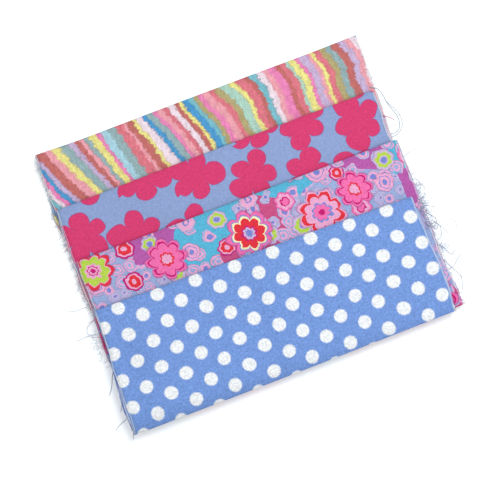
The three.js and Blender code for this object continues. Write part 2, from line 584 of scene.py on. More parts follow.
class Weave(Effect):
    """A plain weave: threads along and across that pass over and under each other."""

    name = "plain_weave"
    inputs = {"Spot": VECTOR, "Pitch": VALUE}
    outputs = {"Height": VALUE, "Tone": VALUE}
    crossing = 2.0  # how sharply one thread passes over another
    across, along = 1.4, 0.22  # scales of the yarn's noise, across a thread and along it
    apart = (0.0, 0.0, 31.0)  # sets the crosswise yarn's noise apart from the other
    cloud_scale = 0.75
    yarn_share, cloud_share = 0.4, 0.55  # of each noise in the tone

    @classmethod
    def build(cls, graph: Graph, given: dict[str, Signal]) -> dict[str, Signal]:
        """Height and tone of the weave.

        The height of a thread is the square of the sine across it. The lengthwise threads
        lie on top where the product of both cosines is above zero, and the crosswise ones
        elsewhere. The tone is long noise along each thread, as uneven yarn has.

        Args:
            graph: the group's tree.
            given: Spot, in millimetres of flat cloth, and Pitch, the threads' spacing.

        Returns:
            Height from 0 to 1, and Tone round 1.
        """
        spot = given["Spot"]
        inputs = {"Vector": spot, "Scale": math.pi / given["Pitch"]}
        u, v = graph.out(graph.node("ShaderNodeVectorMath", inputs, operation="SCALE")).parts()
        lengthwise = u.call("SINE").call("POWER", 2.0)
        crosswise = v.call("SINE").call("POWER", 2.0)
        product = u.call("COSINE") * v.call("COSINE")
        over = graph.math("MULTIPLY_ADD", product, cls.crossing, 0.5, clamp=True)
        height = crosswise + over * (lengthwise - crosswise)
        warp = graph.noise(spot * (cls.across, cls.along, 0.0), 1.0, 2.0)
        weft = graph.noise(spot * (cls.along, cls.across, 0.0) + cls.apart, 1.0, 2.0)
        cloudy = graph.noise(spot, cls.cloud_scale, 3.0)
        tone = (warp + weft) * cls.yarn_share + cloudy * cls.cloud_share
        return {"Height": height, "Tone": tone + (1 - cls.yarn_share - 0.5 * cls.cloud_share)}


class RawCotton(Effect):
    """What printed cotton does to its print: a pale wrong side and lighter raw edges (wear and a
    painted highlight), plus painted shade.
    """

    name = "raw_cotton"
    inputs = {
        "Print": COLOUR, "Tone": VALUE, "Wrong side": VALUE, "Paleness": VALUE,
        "From edge": VALUE, "Beyond": VALUE, "Hollow": VALUE, "Past fold": VALUE, "Spot": VECTOR,
    }
    outputs = {"Colour": COLOUR, "Roughness": VALUE}
    bare = (0.86, 0.94, 1.0, 1)  # unprinted cotton
    strike_scale = 1.7  # of the noise in how far the print strikes through
    ragged_scale = 0.9  # of the noise along a raw edge's lighter strip
    worn_and_lit_width = (0.6, 0.5)  # of a raw edge's lighter strip, partly wear and partly a painted highlight: the noise's share of it, and the rest
    worn_and_lit_softness = 0.4
    worn_and_lit_gamma = 0.38  # below 1, so that a raw edge is lighter: partly worn, partly a painted highlight where the cut edge catches the light
    painted_gap_shade = (0.3, 0.44, 0.9, 1)  # painted shade: what the print is multiplied by in a narrow gap between layers
    gap_beyond = (0.28, 0.6)  # how far beyond the layer above the painted gap shade reaches, and its softness
    gap_depth = (3.0, 2.0)  # how far in from the raw edge the painted gap shade reaches, and its softness
    gap_share = 0.9
    fold_shadow_width = (1.8, 1.3)  # of the painted shadow line behind the back fold of the cloth above, and its softness
    fold_shadow_share = 0.25
    roughness = (-0.5, 1.36)  # per unit of tone, and at no tone

    @classmethod
    def build(cls, graph: Graph, given: dict[str, Signal]) -> dict[str, Signal]:
        """The print dimmed by the yarn's tone, whitened on the wrong side, lighter at raw edges.

        Its ends get painted shade where a layer above lies close over them, and so do troughs,
        the front's bend and the back folds. A thin painted shadow line runs along the back fold
        of the cloth above. The lighter raw edges are partly wear and partly a painted highlight.

        Args:
            graph: the group's tree.
            given: the print, the yarn's tone, the wrong side's mask and how pale it is, the
            distance from the raw edge and how far the spot lies beyond the layer above,
            both in millimetres, the share of painted shade, how far the spot lies
            past the fold of the cloth above, and the spot in the flat cloth.

        Returns:
            Colour and Roughness.
        """
        spot, edge = given["Spot"], given["From edge"]
        toned = graph.mix(1.0, given["Print"], graph.grey(given["Tone"]), "MULTIPLY")
        strike = graph.noise(spot, cls.strike_scale, 2.0).scaled(1.0, 0.5) * given["Paleness"]
        wrong = graph.mix(given["Wrong side"] * strike, toned, cls.bare)
        # the raw edge's lighter strip: pale worn fibres and a painted highlight where the cut edge
        # catches the light
        ragged = graph.noise(spot, cls.ragged_scale, 1.0).scaled(*cls.worn_and_lit_width)
        worn_and_lit = graph.out(graph.node("ShaderNodeGamma", {"Color": wrong, "Gamma": cls.worn_and_lit_gamma}))
        edge_lightened = graph.mix(edge.below(ragged, cls.worn_and_lit_softness), wrong, worn_and_lit)
        # painted shade in the narrow gaps where a layer above lies close over a raw end
        gap_shade_colour = graph.mix(1.0, toned, cls.painted_gap_shade, "MULTIPLY")
        gap = given["Beyond"].below(*cls.gap_beyond) * edge.below(*cls.gap_depth) * cls.gap_share
        shaded = graph.mix(gap, edge_lightened, gap_shade_colour)
        # a painted shadow line behind the back fold of the cloth above, then the stored painted
        # shade
        line = given["Past fold"].below(*cls.fold_shadow_width) * cls.fold_shadow_share
        dim = (1.0 - given["Hollow"]) * (1.0 - line)
        colour = graph.mix(1.0, shaded, graph.grey(dim), "MULTIPLY")
        return {"Colour": colour, "Roughness": given["Tone"].scaled(*cls.roughness)}


class Scatter(Effect):
    """Centres scattered over the cloth, and which of them is the nearest."""

    name = "scattered_centres"
    inputs = {"Spot": VECTOR, "Spacing": VALUE, "Scatter": VALUE}
    outputs = {"From centre": VECTOR, "Pick": VALUE, "Other pick": VALUE}

    @classmethod
    def build(cls, graph: Graph, given: dict[str, Signal]) -> dict[str, Signal]:
        """The way from the nearest centre to the spot, and two random numbers of that centre.

        Args:
            graph: the group's tree.
            given: the spot, the centres' spacing, and how far they stray, from 0 to 1.

        Returns:
            From centre, Pick and Other pick.
        """
        cells = graph.cells(given["Spot"], 1.0 / given["Spacing"], given["Scatter"])
        pick, other = graph.out(cells, "Color").parts()
        across, up = (given["Spot"] - graph.out(cells, "Position")).parts()
        return {"From centre": graph.vector(across, up), "Pick": pick, "Other pick": other}


class Rosette(Effect):
    """A round motif with a rim of petals, or a plain rim where the petals have no depth."""

    name = "rosette_reach"
    inputs = {
        "From centre": VECTOR, "Turn": VALUE, "Radius": VALUE, "Petals": VALUE,
        "Petal depth": VALUE,
    }
    outputs = {"Reach": VALUE}
    roundness = 0.7  # power of the petals' wave: below 1 makes them rounder

    @classmethod
    def build(cls, graph: Graph, given: dict[str, Signal]) -> dict[str, Signal]:
        """How far a spot is from the centre, in the motif's radii.

        The radius in a direction is the motif's own radius times one less the petal depth
        times one less the size of the cosine of half the petals' angle there, so the rim
        swells into petals.

        Args:
            graph: the group's tree.
            given: the way from the centre, the motif's turn as a share of a whole turn, its
                radius, the number of petals and their depth.

        Returns:
            Reach, 0 at the centre and 1 at the rim.
        """
        across, up = given["From centre"].parts()
        angle = graph.math("ARCTAN2", up, across) + given["Turn"] * FULL_TURN
        wave = (angle * given["Petals"] * 0.5).call("COSINE").call("ABSOLUTE")
        dip = (1.0 - wave.call("POWER", cls.roundness)) * given["Petal depth"]
        rim = (1.0 - dip) * given["Radius"]
        return {"Reach": given["From centre"].length() / rim}


class Flower(Effect):
    """A plain flower: round petals of uneven size round a heart."""

    name = "round_petals"
    inputs = {"From centre": VECTOR, "Turn": VALUE, "Petals": VALUE, "Size": VALUE, "Heart": VALUE}
    outputs = {"Outside": VALUE}
    tag_step = 50  # sets the petals' random numbers of one flower apart from another's
    head_size = (0.36, 0.84)  # of a petal's head in sizes: the random share, and the least
    stem_length = (0.55, 1.4)  # from the centre to the head's middle, likewise
    joint = 2.5  # how softly the petals run into the heart, in millimetres

    @classmethod
    def build(cls, graph: Graph, given: dict[str, Signal]) -> dict[str, Signal]:
        """How far outside the flower a spot is, in millimetres: below zero inside.

        The angle is folded into one petal's share of the turn. The distance to that
        petal's round head and the distance to the heart are joined by a smooth minimum.

        Args:
            graph: the group's tree.
            given: the way from the centre, the flower's turn as a share of a whole turn,
                the number of petals, the radius of a petal and that of the heart.

        Returns:
            Outside.
        """
        across, up = given["From centre"].parts()
        share = FULL_TURN / given["Petals"]
        angle = graph.math("ARCTAN2", up, across) + given["Turn"] * FULL_TURN + FULL_TURN
        number = (angle / share).call("FLOOR")
        tag = graph.vector(number, given["Turn"] * cls.tag_step)
        draw = graph.node("ShaderNodeTexWhiteNoise", {"Vector": tag}, noise_dimensions="2D")
        uneven = graph.out(draw)
        folded = angle - number * share - share * 0.5
        away = given["From centre"].length()
        head = given["Size"] * uneven.scaled(*cls.head_size)
        stem = given["Size"] * uneven.scaled(*cls.stem_length)
        beyond, beside = away * folded.call("COSINE") - stem, away * folded.call("SINE")
        petal = graph.vector(beyond, beside).length() - head
        return {"Outside": petal.call("SMOOTH_MIN", away - given["Heart"], cls.joint)}


# ---- Colours and finishes ---------------------------------------------------------------


class Dye(Enum):
    """The colours of the cloths and threads, as red, green and blue up to 255."""

    DOT_BLUE = (116, 152, 218)
    DOT_WHITE = (240, 244, 247)
    PERIWINKLE = (141, 162, 208)
    MAGENTA = (214, 60, 113)
    CORAL = (224, 122, 136)
    RUST = (197, 111, 107)
    TEAL = (123, 190, 204)
    LIGHT_BLUE = (170, 214, 229)
    YELLOW = (237, 230, 143)
    LILAC = (202, 180, 216)
    GREY_TEAL = (150, 179, 183)
    SALMON = (239, 165, 177)
    OLIVE = (182, 170, 121)
    HOT_PINK = (237, 136, 188)
    BRIGHT_BLUE = (77, 156, 210)
    MINT = (175, 214, 198)
    SHELL = (240, 223, 234)
    RASPBERRY = (199, 79, 131)
    TURQUOISE = (86, 180, 214)
    LILAC_BLUE = (152, 172, 216)
    ORCHID = (180, 90, 168)
    RED = (224, 48, 63)
    CRIMSON = (196, 22, 115)
    PINK = (240, 111, 174)
    PALE_PINK = (233, 168, 206)
    LIME = (180, 211, 78)
    CREAM = (243, 237, 187)
    VIOLET_BLUE = (122, 134, 207)
    WHITE = (248, 248, 250)
    PLUM = (112, 62, 132)
    SLATE = (94, 112, 164)
    DIM_GREY = (142, 152, 172)
    ASH = (182, 191, 206)

    @property
    def rgba(self) -> tuple[float, float, float, float]:
        """The colour in Blender's linear values.

        Returns:
            The red, green, blue and alpha.
        """
        shares = [part / 255 for part in self.value]
        linear = [s / 12.92 if s <= 0.04045 else ((s + 0.055) / 1.055) ** 2.4 for s in shares]
        return (*linear, 1.0)


@dataclass(frozen=True)
class PrintedCotton(ABC):
    """Quilting cotton with a print on one side."""

    name: str
    paleness: float = 0.35  # of the wrong side
    uneven: float = 1.0  # how much lighter and darker the yarn gets
    pitch: float = 0.36  # spacing of the threads
    bump: float = 0.35
    thread_height: float = 0.06
    shine: float = 0.25
    sheen: float = 0.08
    sheen_roughness: float = 0.5

    @abstractmethod
    def colour(self, graph: Graph, spot: Signal) -> Signal:
        """The printed side's colour.

        Args:
            graph: the material's tree.
            spot: a place in the flat cloth, in millimetres.

        Returns:
            The colour there.
        """

    def material(self) -> bpy.types.Material:
        """The print on its weave, with the wrong side and the raw edges.

        Returns:
            The material.
        """
        made = bpy.data.materials.new(self.name)
        graph = fresh_graph(made)
        spot = graph.out(graph.node("ShaderNodeUVMap", uv_map="Cloth")) * (1 / MM)
        weave = graph.effect(Weave, {"Spot": spot, "Pitch": self.pitch})
        inputs = {"Print": self.colour(graph, spot), "Paleness": self.paleness, "Spot": spot}
        inputs["Tone"] = weave["Tone"].scaled(self.uneven, 1 - self.uneven)
        for label in ("Wrong side", "From edge", "Beyond", "Hollow", "Past fold"):
            inputs[label] = graph.stored(label.lower().replace(" ", "_"))
        look = graph.effect(RawCotton, inputs)
        relief = {"Height": weave["Height"], "Strength": self.bump}
        relief["Distance"] = self.thread_height * MM
        surface = {
            "Base Color": look["Colour"],
            "Roughness": look["Roughness"],
            "Normal": graph.out(graph.node("ShaderNodeBump", relief)),
            "Specular IOR Level": self.shine,
            "Sheen Weight": self.sheen,
            "Sheen Roughness": self.sheen_roughness,
        }
        graph.finish("ShaderNodeOutputMaterial", "ShaderNodeBsdfPrincipled", surface)
        return made


@dataclass(frozen=True)
class DotPrint(PrintedCotton):
    """White dots on blue, in rows that are half a step apart."""

    step: float = 27.65  # between two dots of a row
    row_pair: float = 19.14  # between a row and the next but one
    radius: float = 4.5
    softness: float = 1.0
    ragged: float = 0.8  # how much a dot's radius varies
    first_dot: tuple[float, float] = (10.14, 60.21)
    tilt: float = math.radians(-0.45)
    drift: float = 0.9  # how far the printed dots stray
    flecks: tuple[float, float] = (-1.6, 1.1)  # contrast and level of the flecks in the white
    bareness: float = 0.07  # how much of the blue shows in them

    def colour(self, graph: Graph, spot: Signal) -> Signal:
        """White inside the nearer of two lattices of dots, and blue elsewhere.

        Args:
            graph: the material's tree.
            spot: a place in the flat cloth, in millimetres.

        Returns:
            The colour there.
        """
        inputs = {
            "Vector": spot + graph.stray(spot, scale=0.028, detail=0.0, reach=3 * self.drift),
            "Location": (-self.first_dot[0], -self.first_dot[1], 0),
            "Rotation": (0, 0, self.tilt),
        }
        pair = graph.out(graph.node("ShaderNodeMapping", inputs)) / (self.step, self.row_pair, 1.0)
        away = []
        for start in (0.5, 1.0):
            cell = (pair + start).call("FRACTION") - 0.5
            x, y = (cell * (self.step, self.row_pair, 0.0)).parts()
            away.append(graph.vector(x, y).length())
        rim = graph.noise(spot, 0.8, 2.0).scaled(self.ragged, self.radius - 0.5 * self.ragged)
        flecks = graph.noise(spot, 0.6, 2.0).scaled(*self.flecks)
        bare = graph.math("MULTIPLY", flecks, self.bareness, clamp=True)
        white = graph.mix(bare, Dye.DOT_WHITE.rgba, Dye.DOT_BLUE.rgba)
        return graph.mix(smallest(away).below(rim, self.softness), Dye.DOT_BLUE.rgba, white)


@dataclass(frozen=True)
class StripePrint(PrintedCotton):
    """Uneven stripes of many colours that run from the back fold to the front fold."""

    bands: tuple[tuple[Dye, float], ...] = ()
    slant: float = -0.25
    fan: float = 0.0012  # how much the slant eases for each millimetre to the right
    fan_reach: float = 120.0  # how far along the cloth the slant eases
    waves: tuple[tuple[float, float, float, float], ...] = (  # scales over u and v, detail, reach
        (0.012, 0.018, 1.0, 20.0),  # a slow sway
        (0.17, 0.24, 1.0, 3.6),  # a rough edge
        (0.36, 0.66, 3.0, 3.9),  # a jagged edge
    )
    blur: tuple[float, float] = (0.7, 0.35)  # width of the edge between two bands, and its mix
    line: tuple[float, float] = (1.3, 0.3)  # how soon and how much that edge is darker
    brushing: tuple[float, float] = (0.6, 0.64)  # contrast and level of the lengthwise streaks
    ramp_size: int = 31  # bands that one ramp holds

    def colour(self, graph: Graph, spot: Signal) -> Signal:
        """Bands of colour across u, after u is slanted, swayed and roughened by noise.

        Args:
            graph: the material's tree.
            spot: a place in the flat cloth, in millimetres.

        Returns:
            The colour there.
        """
        u, v = spot.parts()
        near = v.call("MINIMUM", self.fan_reach).call("MAXIMUM", -self.fan_reach)
        place = u + v * self.slant + u * near * self.fan
        for across, along, detail, reach in self.waves:
            wave = graph.noise(graph.vector(u * across, v * along), 1.0, detail) - 0.5
            place = place + wave * reach
        here = self._band(graph, place)
        width, share = self.blur
        beside = self._band(graph, place + width)
        gap = graph.vector_math("DISTANCE", here, beside, output="Value")
        line = graph.math("MULTIPLY", gap, self.line[0], clamp=True) * self.line[1]
        edged = graph.mix(line, graph.mix(share, here, beside), Dye.RUST.rgba, "MULTIPLY")
        streaks = graph.noise(graph.vector(u * 0.55, v * 0.16), 1.0, 2.0)
        return graph.mix(1.0, edged, graph.grey(streaks.scaled(*self.brushing)), "MULTIPLY")

    def _band(self, graph: Graph, place: Signal) -> Signal:
        """The colour of a stripe, from ramps that follow each other and repeat.

        Args:
            graph: the material's tree.
            place: the distance across the stripes.

        Returns:
            The stripe's colour.
        """
        starts = np.cumsum([0.0] + [width for _, width in self.bands])
        along = graph.math("FLOORED_MODULO", place, float(starts[-1]))
        found = None
        for first in range(0, len(self.bands), self.ramp_size):
            part = self.bands[first : first + self.ramp_size]
            low, high = float(starts[first]), float(starts[first + len(part)])
            places = (starts[first : first + len(part)] - low) / (high - low)
            bands = zip(places, (dye for dye, _ in part))
            ramp = graph.steps((along - low) * (1 / (high - low)), bands)
            found = graph.mix(along.below(low, SHARP), ramp, found) if found else ramp
        return found


@dataclass(frozen=True)
class FlowerPrint(PrintedCotton):
    """Large plain flowers of one colour on a ground of another."""

    spacing: float = 54.0
    scatter: float = 0.1
    petals: float = 5.0
    petal: float = 7.15
    heart: float = 7.4
    turn: float = 0.45
    edge: float = 0.35  # softness of a flower's edge
    rim: tuple[float, float, float] = (0.3, 0.4, 0.4)  # half width, softness and darkness

    def colour(self, graph: Graph, spot: Signal) -> Signal:
        """Flowers of two scatters, set half a step apart, with a thin dark rim.

        Args:
            graph: the material's tree.
            spot: a place in the flat cloth, in millimetres.

        Returns:
            The colour there.
        """
        place = spot + graph.stray(spot, scale=0.05, detail=1.0, reach=9.0)
        turned = {"Vector": place, "Rotation": (0, 0, self.turn)}
        bent = graph.out(graph.node("ShaderNodeMapping", turned))
        flowers = []
        for step in (0.0, self.spacing / 2):
            centre = graph.scattered(bent + (step, step, 0.0), self.spacing, self.scatter)
            inputs = {"From centre": centre["From centre"], "Turn": centre["Pick"]}
            inputs |= {"Petals": self.petals, "Size": self.petal, "Heart": self.heart}
            flowers.append(graph.effect(Flower, inputs)["Outside"])
        outside = smallest(flowers)
        plain = graph.mix(outside.below(0.0, self.edge), Dye.PERIWINKLE.rgba, Dye.MAGENTA.rgba)
        half_width, softness, darkness = self.rim
        rim = outside.call("ABSOLUTE").below(half_width, softness) * darkness
        return graph.mix(rim, plain, Dye.PLUM.rgba)


@dataclass(frozen=True)
class MotifSet:
    """One size of round motif: how it is scattered, and the rings of each kind."""

    spacing: float
    scatter: float  # how far the centres stray, from 0 to 1
    radius: float
    spread: float  # how much the radius varies, as a share
    petals: float
    depth: float  # of the dips between the petals, as a share
    shift: Point  # sets the centres apart from those of the other sets
    kinds: tuple[tuple[tuple[float, Dye], ...], ...]  # where each ring starts, and its dye
    elsewhere: float = 1.0  # share of the motifs shown outside the crowded patches


@dataclass(frozen=True)
class RosettePrint(PrintedCotton):
    """Rosettes and rings of three sizes on patches of four colours."""

    patch: float = 50.0
    sets: tuple[MotifSet, ...] = ()
    shift: Point = (35.0, 200.0, 0.0)
    crowded: float = 0.4  # share of the patches that are full of small rings
    edge: float = 0.03  # softness of a motif's edge, in radii
    rim: tuple[float, float, float] = (0.05, 0.06, 0.4)  # half width, softness and darkness
    orchid_from: float = 0.6  # where the other patches' colours start, as shares
    raspberry_from: float = 0.86

    def colour(self, graph: Graph, spot: Signal) -> Signal:
        """The patches, with each set of motifs drawn over what is there.

        Args:
            graph: the material's tree.
            spot: a place in the flat cloth, in millimetres.

        Returns:
            The colour there.
        """
        place = spot + graph.stray(spot, scale=0.09, detail=2.0, reach=6.0) + self.shift
        pick, _ = graph.out(graph.cells(place, 1 / self.patch, 0.8), "Color").parts()
        others = [(self.orchid_from, Dye.ORCHID), (self.raspberry_from, Dye.RASPBERRY)]
        ground = [(0.0, Dye.LILAC_BLUE), (self.crowded, Dye.TURQUOISE), *others]
        drawn = graph.steps(pick, ground)
        crowd = pick.below(self.crowded, SHARP)
        wavy = spot + graph.stray(spot, scale=0.16, detail=1.0, reach=4.5)
        wavy = wavy + graph.stray(spot, scale=0.55, detail=1.0, reach=1.1)
        for motif in self.sets:
            reach, kind, size = self._reach(graph, wavy, motif)
            rings = None
            for number, bands in enumerate(motif.kinds):
                coloured = graph.steps(reach, bands)
                limit = number / len(motif.kinds)
                rings = graph.mix(kind.below(limit, SHARP), coloured, rings) if rings else coloured
            shown = size.call("GREATER_THAN", (1.0 - crowd) * (1 - motif.elsewhere))
            drawn = graph.mix(reach.below(1.0, self.edge) * shown, drawn, rings)
            half_width, softness, darkness = self.rim
            line = (reach - 1.0).call("ABSOLUTE").below(half_width, softness) * shown * darkness
            drawn = graph.mix(line, drawn, Dye.PLUM.rgba)
        return drawn

    @staticmethod
    def _reach(graph: Graph, spot: Signal, motif: MotifSet) -> tuple[Signal, Signal, Signal]:
        """Finds the motif of one set that lies nearest.

        Args:
            graph: the material's tree.
            spot: the place, already made wavy.
            motif: the set.

        Returns:
            How far the spot is from the motif's centre, in radii, and its kind and size.
        """
        centre = graph.scattered(spot + motif.shift, motif.spacing, motif.scatter)
        kind, size = centre["Other pick"], centre["Pick"]
        inputs = {
            "From centre": centre["From centre"],
            "Turn": kind,
            "Radius": (size - 0.5).scaled(motif.spread, 1.0) * motif.radius,
            "Petals": motif.petals,
            "Petal depth": motif.depth,
        }
        return graph.effect(Rosette, inputs)["Reach"], kind, size


@dataclass(frozen=True)
class Yarn:
    """The loose threads of one cut: a few dyes, picked by each thread's stored tone."""

    name: str
    dyes: tuple[Dye, ...]
    uneven_scale: float = 900.0  # per metre
    fading: float = 0.24  # how white the palest spots of a thread are
    roughness: tuple[float, float] = (0.3, 0.7)  # the uneven share of it, and the least
    shine: float = 0.2

    def material(self) -> bpy.types.Material:
        """Matt threads whose colour follows the stored tone, a little uneven along them.

        Returns:
            The material.
        """
        made = bpy.data.materials.new(self.name)
        graph = fresh_graph(made)
        bands = [(number / len(self.dyes), dye) for number, dye in enumerate(self.dyes)]
        plain = graph.steps(graph.stored("tone"), bands)
        place = graph.out(graph.node("ShaderNodeTexCoord"), "Object")
        uneven = graph.noise(place, self.uneven_scale, 1.0)
        surface = {
            "Base Color": graph.mix(uneven * self.fading, plain, Dye.WHITE.rgba),
            "Roughness": uneven.scaled(*self.roughness),
            "Specular IOR Level": self.shine,
        }
        graph.finish("ShaderNodeOutputMaterial", "ShaderNodeBsdfPrincipled", surface)
        return made


# ---- The folded cuts --------------------------------------------------------------------


@dataclass(frozen=True)
class Turn:
    """A fold or an end: how far the raw ends stand out there, and how far it is set back."""

    left: float = 0.0
    right: float = 0.0
    setback: float = 0.0


@dataclass(frozen=True)
class Outline:
    """The top layer's corners, each as its distance in from that corner of the box."""

    back_left: tuple[float, float]
    back_right: tuple[float, float]
    front_right: tuple[float, float]
    front_left: tuple[float, float]
    bow_back: float
    bow_right: float
    bow_front: float
    bow_left: float

    def corners(self, low: Point, high: Point) -> dict[str, Numbers]:
        """Places the corners in a box.

        Args:
            low: the box's lowest corner.
            high: its highest corner.

        Returns:
            The corners' x and y by their names.
        """
        placed = {}
        for row, y, y_inward in (("back", high[1], -1), ("front", low[1], 1)):
            for side, x, x_inward in (("left", low[0], 1), ("right", high[0], -1)):
                name = f"{row}_{side}"
                inward = np.array(getattr(self, name)) * (x_inward, y_inward)
                placed[name] = np.array([x, y]) + inward
        return placed


@dataclass(frozen=True)
class Bulge:
    """A stretch where a raw edge stands out, or in where out is below zero."""

    side: int  # -1 left, 1 right
    y: float
    out: float
    reach: float
    down: int = 0  # how many layers lie above those that it moves

    def shift(self, y: Numbers, layers_down: Numbers) -> Numbers:
        """side times out times a bell curve of the distance from y, for the layers it moves."""
        moved = np.clip(layers_down - self.down + 1, 0, 1)
        return self.side * self.out * bell(y - self.y, self.reach) * moved


def line_rows(depth: Any, offset: Any, height: Any, left: Any, right: Any) -> Numbers:
    """Rows of a centre line: depth, offset, height, and how far both raw ends stand out."""
    return np.stack(np.broadcast_arrays(depth, offset, height, left, right), axis=1)


@dataclass(frozen=True)
class Place:
    """A place of the centre line: its depth, 0 front to 1 back, and its offset from there."""

    depth: float
    offset: float
    turn: Turn

    def flat_rows(self, end: "Place", height: float, steps: int, near: float = 0.0) -> Numbers:
        """Evenly spaced rows from here to another place, both included.

        One more row lies close to the back end, so that the layer stays flat up to its
        fold, where near gives its distance as a share of the whole.

        Args:
            end: the other place.
            height: the rows' height.
            steps: how many steps they make.
            near: the share, or 0 for no such row.

        Returns:
            The rows.
        """
        share = np.linspace(0, 1, steps + 1)
        if near:
            backward = self.depth > end.depth
            share = np.insert(share, 1, near) if backward else np.insert(share, -1, 1 - near)
        return line_rows(
            blend(self.depth, end.depth, share),
            blend(self.offset, end.offset, share),
            height,
            blend(self.turn.left, end.turn.left, share),
            blend(self.turn.right, end.turn.right, share),
        )


@dataclass(frozen=True)
class Fold(Place):
    """A fold of the centre line: where its middle is, and the way in which it is passed."""

    middle: float
    radius: float
    steps: int
    stretch: float = 1.0
    upward: bool = True

    def rows(self) -> Numbers:
        """A half turn, whose bulge at its middle is the radius times the stretch.

        Returns:
            The rows.
        """
        angle = np.linspace(0, np.pi, self.steps + 1)
        reach = (1 if self.depth else -1) * self.radius * self.stretch * np.sin(angle)
        rise = (-1 if self.upward else 1) * self.radius * np.cos(angle)
        turn = self.turn
        return line_rows(self.depth, self.offset + reach, self.middle + rise, turn.left, turn.right)


@dataclass
class Faces:
    """The cloth's two faces as arrays of column by row, and what the materials need."""

    printed: Numbers
    wrong: Numbers
    spots: Numbers
    from_edge: Numbers
    beyond: Numbers
    # painted shade, as a share
    hollow: Numbers
    on_top: Numbers


@dataclass
class FoldedCut:
    """One cut of cloth, folded back and forth, with its last turn round the whole front."""

    node: str
    piece: str
    slot: str
    layers: int
    outline: Outline
    turns: tuple[Turn, ...]  # from the top down: the front wrap, then each fold below
    finish: PrintedCotton
    seed: int
    below: tuple[str, ...] = ()
    bulges: tuple[Bulge, ...] = ()
    length: float = 1118.0  # 44 inches of cloth
    sheet: float = 0.28  # thickness of the cloth
    columns: int = 64
    step: float = 4.0  # longest step along a flat layer
    crease: float = 0.4  # how close to a back fold the layer is flat
    fold_steps: int = 6
    wrap_steps: int = 16
    wrap_stretch: float = 2.0  # how much further the front wrap reaches than it is high
    clearance: float = 0.04  # between the front folds and the wrap
    stray: tuple[float, float] = (-1.1, 0.4)  # how far the hidden turns stand out
    end_inset: tuple[float, float] = (2.0, 8.0)  # of the outer end from the back
    ragged: tuple[tuple[float, float], ...] = (  # wavelengths and sizes of a raw end's waves
        (61.0, 0.35), (23.0, 0.2), (9.1, 0.08), (3.7, 0.03),
    )
    nothing_above: float = 50.0
    back_dimming: tuple[float, float] = (0.24, 0.5)  # painted shade on the back folds: how dark, and how far
    base: float = field(init=False)
    pitch: float = field(init=False)
    corner: dict[str, Numbers] = field(init=False)
    mean_depth: float = field(init=False)
    random: np.random.Generator = field(init=False)
    faces: Faces = field(init=False)

    def __post_init__(self) -> None:
        """Takes the box and the heights of the cut's solid from the frame."""
        low, high = (np.array(corner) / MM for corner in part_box(self.node))
        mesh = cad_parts[self.node].data
        points = np.empty(len(mesh.vertices) * 3)
        mesh.vertices.foreach_get("co", points)
        flat = RELIEF.flat_height(*points.reshape(-1, 3).T / MM)
        self.base = float(flat.min())
        self.pitch = (float(flat.max()) - self.base - self.sheet) / (self.layers - 1)
        self.corner = self.outline.corners(low, high)
        back, front = (
            np.mean([self.corner[f"{row}_{side}"][1] for side in ("left", "right")])
            for row in ("back", "front")
        )
        self.mean_depth = back - front
        self.random = np.random.default_rng(self.seed)

    def _level(self, number: int) -> float:
        """The middle height of a layer: 0 is the lowest."""
        return self.base + self.sheet / 2 + number * self.pitch

    def _turn(self, from_top: int) -> Turn:
        """A fold's turn, drawn at random where none is given.

        Args:
            from_top: how many folds lie above it, with the front wrap as the first.

        Returns:
            The turn.
        """
        if from_top < len(self.turns):
            return self.turns[from_top]
        left, right, setback = self.random.uniform(*self.stray, 3)
        return Turn(left, right, abs(setback))

    def _folds(self) -> list[Fold]:
        """The folds in running order, from the inner end to the front wrap.

        A fold at the back has its middle a radius and half a sheet inside the edge. One
        at the front lies as far forward as fits inside the wrap, which is a half ellipse:
        the square root of the room's square less the square of its distance from the
        wrap's middle height.

        Returns:
            The folds.
        """
        top = self.layers - 1
        wrap = top * self.pitch / 2
        wrap_inset = wrap * self.wrap_stretch + self.sheet / 2
        middle = self._level(0) + wrap
        radius = self.pitch / 2
        room = max(wrap - self.sheet - self.clearance - radius, 0)
        folds = []
        for level in range(1, top):
            turn = self._turn(top - level)
            height = self._level(level) + radius
            if (top - level) % 2:
                depth, offset = 1.0, -(radius + self.sheet / 2 + turn.setback)
            else:
                forward = math.sqrt(max(room**2 - (height - middle) ** 2, 0))
                depth, offset = 0.0, wrap_inset - forward * self.wrap_stretch + turn.setback
            folds.append(Fold(depth, offset, turn, height, radius, self.fold_steps))
        shape = (self.wrap_steps, self.wrap_stretch, False)
        return [*folds, Fold(0.0, wrap_inset, self._turn(0), middle, wrap, *shape)]

    def _centre_line(self) -> tuple[Numbers, int]:
        """The centre line from the inner end to the outer end.

        A flat layer runs straight between two folds. A fold is a half turn: its reach is
        the radius times the sine, and its height the radius times the cosine, of an angle
        from 0 to half a turn. The inner end is where the whole line has the cut's length.

        Returns:
            The rows, and the number of the row where the top layer starts.
        """
        folds = self._folds()
        end = Place(1.0, -blend(*self.end_inset, self.random.random()), self._turn(self.layers))
        steps, near = math.ceil(self.mean_depth / self.step), self.crease / self.mean_depth
        blocks = []
        for number, (here, beyond) in enumerate(zip(folds, [*folds[1:], end])):
            level = number + 2 if number + 2 < self.layers else 0
            rows = here.flat_rows(beyond, self._level(level), steps, near)
            blocks += [here.rows(), rows[1:] if beyond is end else rows[1:-1]]
        outer = np.concatenate(blocks)
        moves = np.diff(outer[:, 0] * self.mean_depth + outer[:, 1])
        spare = self.length - np.cumsum(np.hypot(moves, np.diff(outer[:, 2])))[-1]
        first = folds[0]
        start = first.depth + (-1 if first.depth else 1) * spare / self.mean_depth
        inner_end = Place(start, first.offset, self._turn(self.layers + 1))
        inner = inner_end.flat_rows(first, self._level(1), max(int(spare / self.step), 2))
        blocks.insert(0, inner[:-1])
        top_block = 2 * (len(folds) - 1)
        return np.concatenate(blocks), sum(len(block) for block in blocks[:top_block])

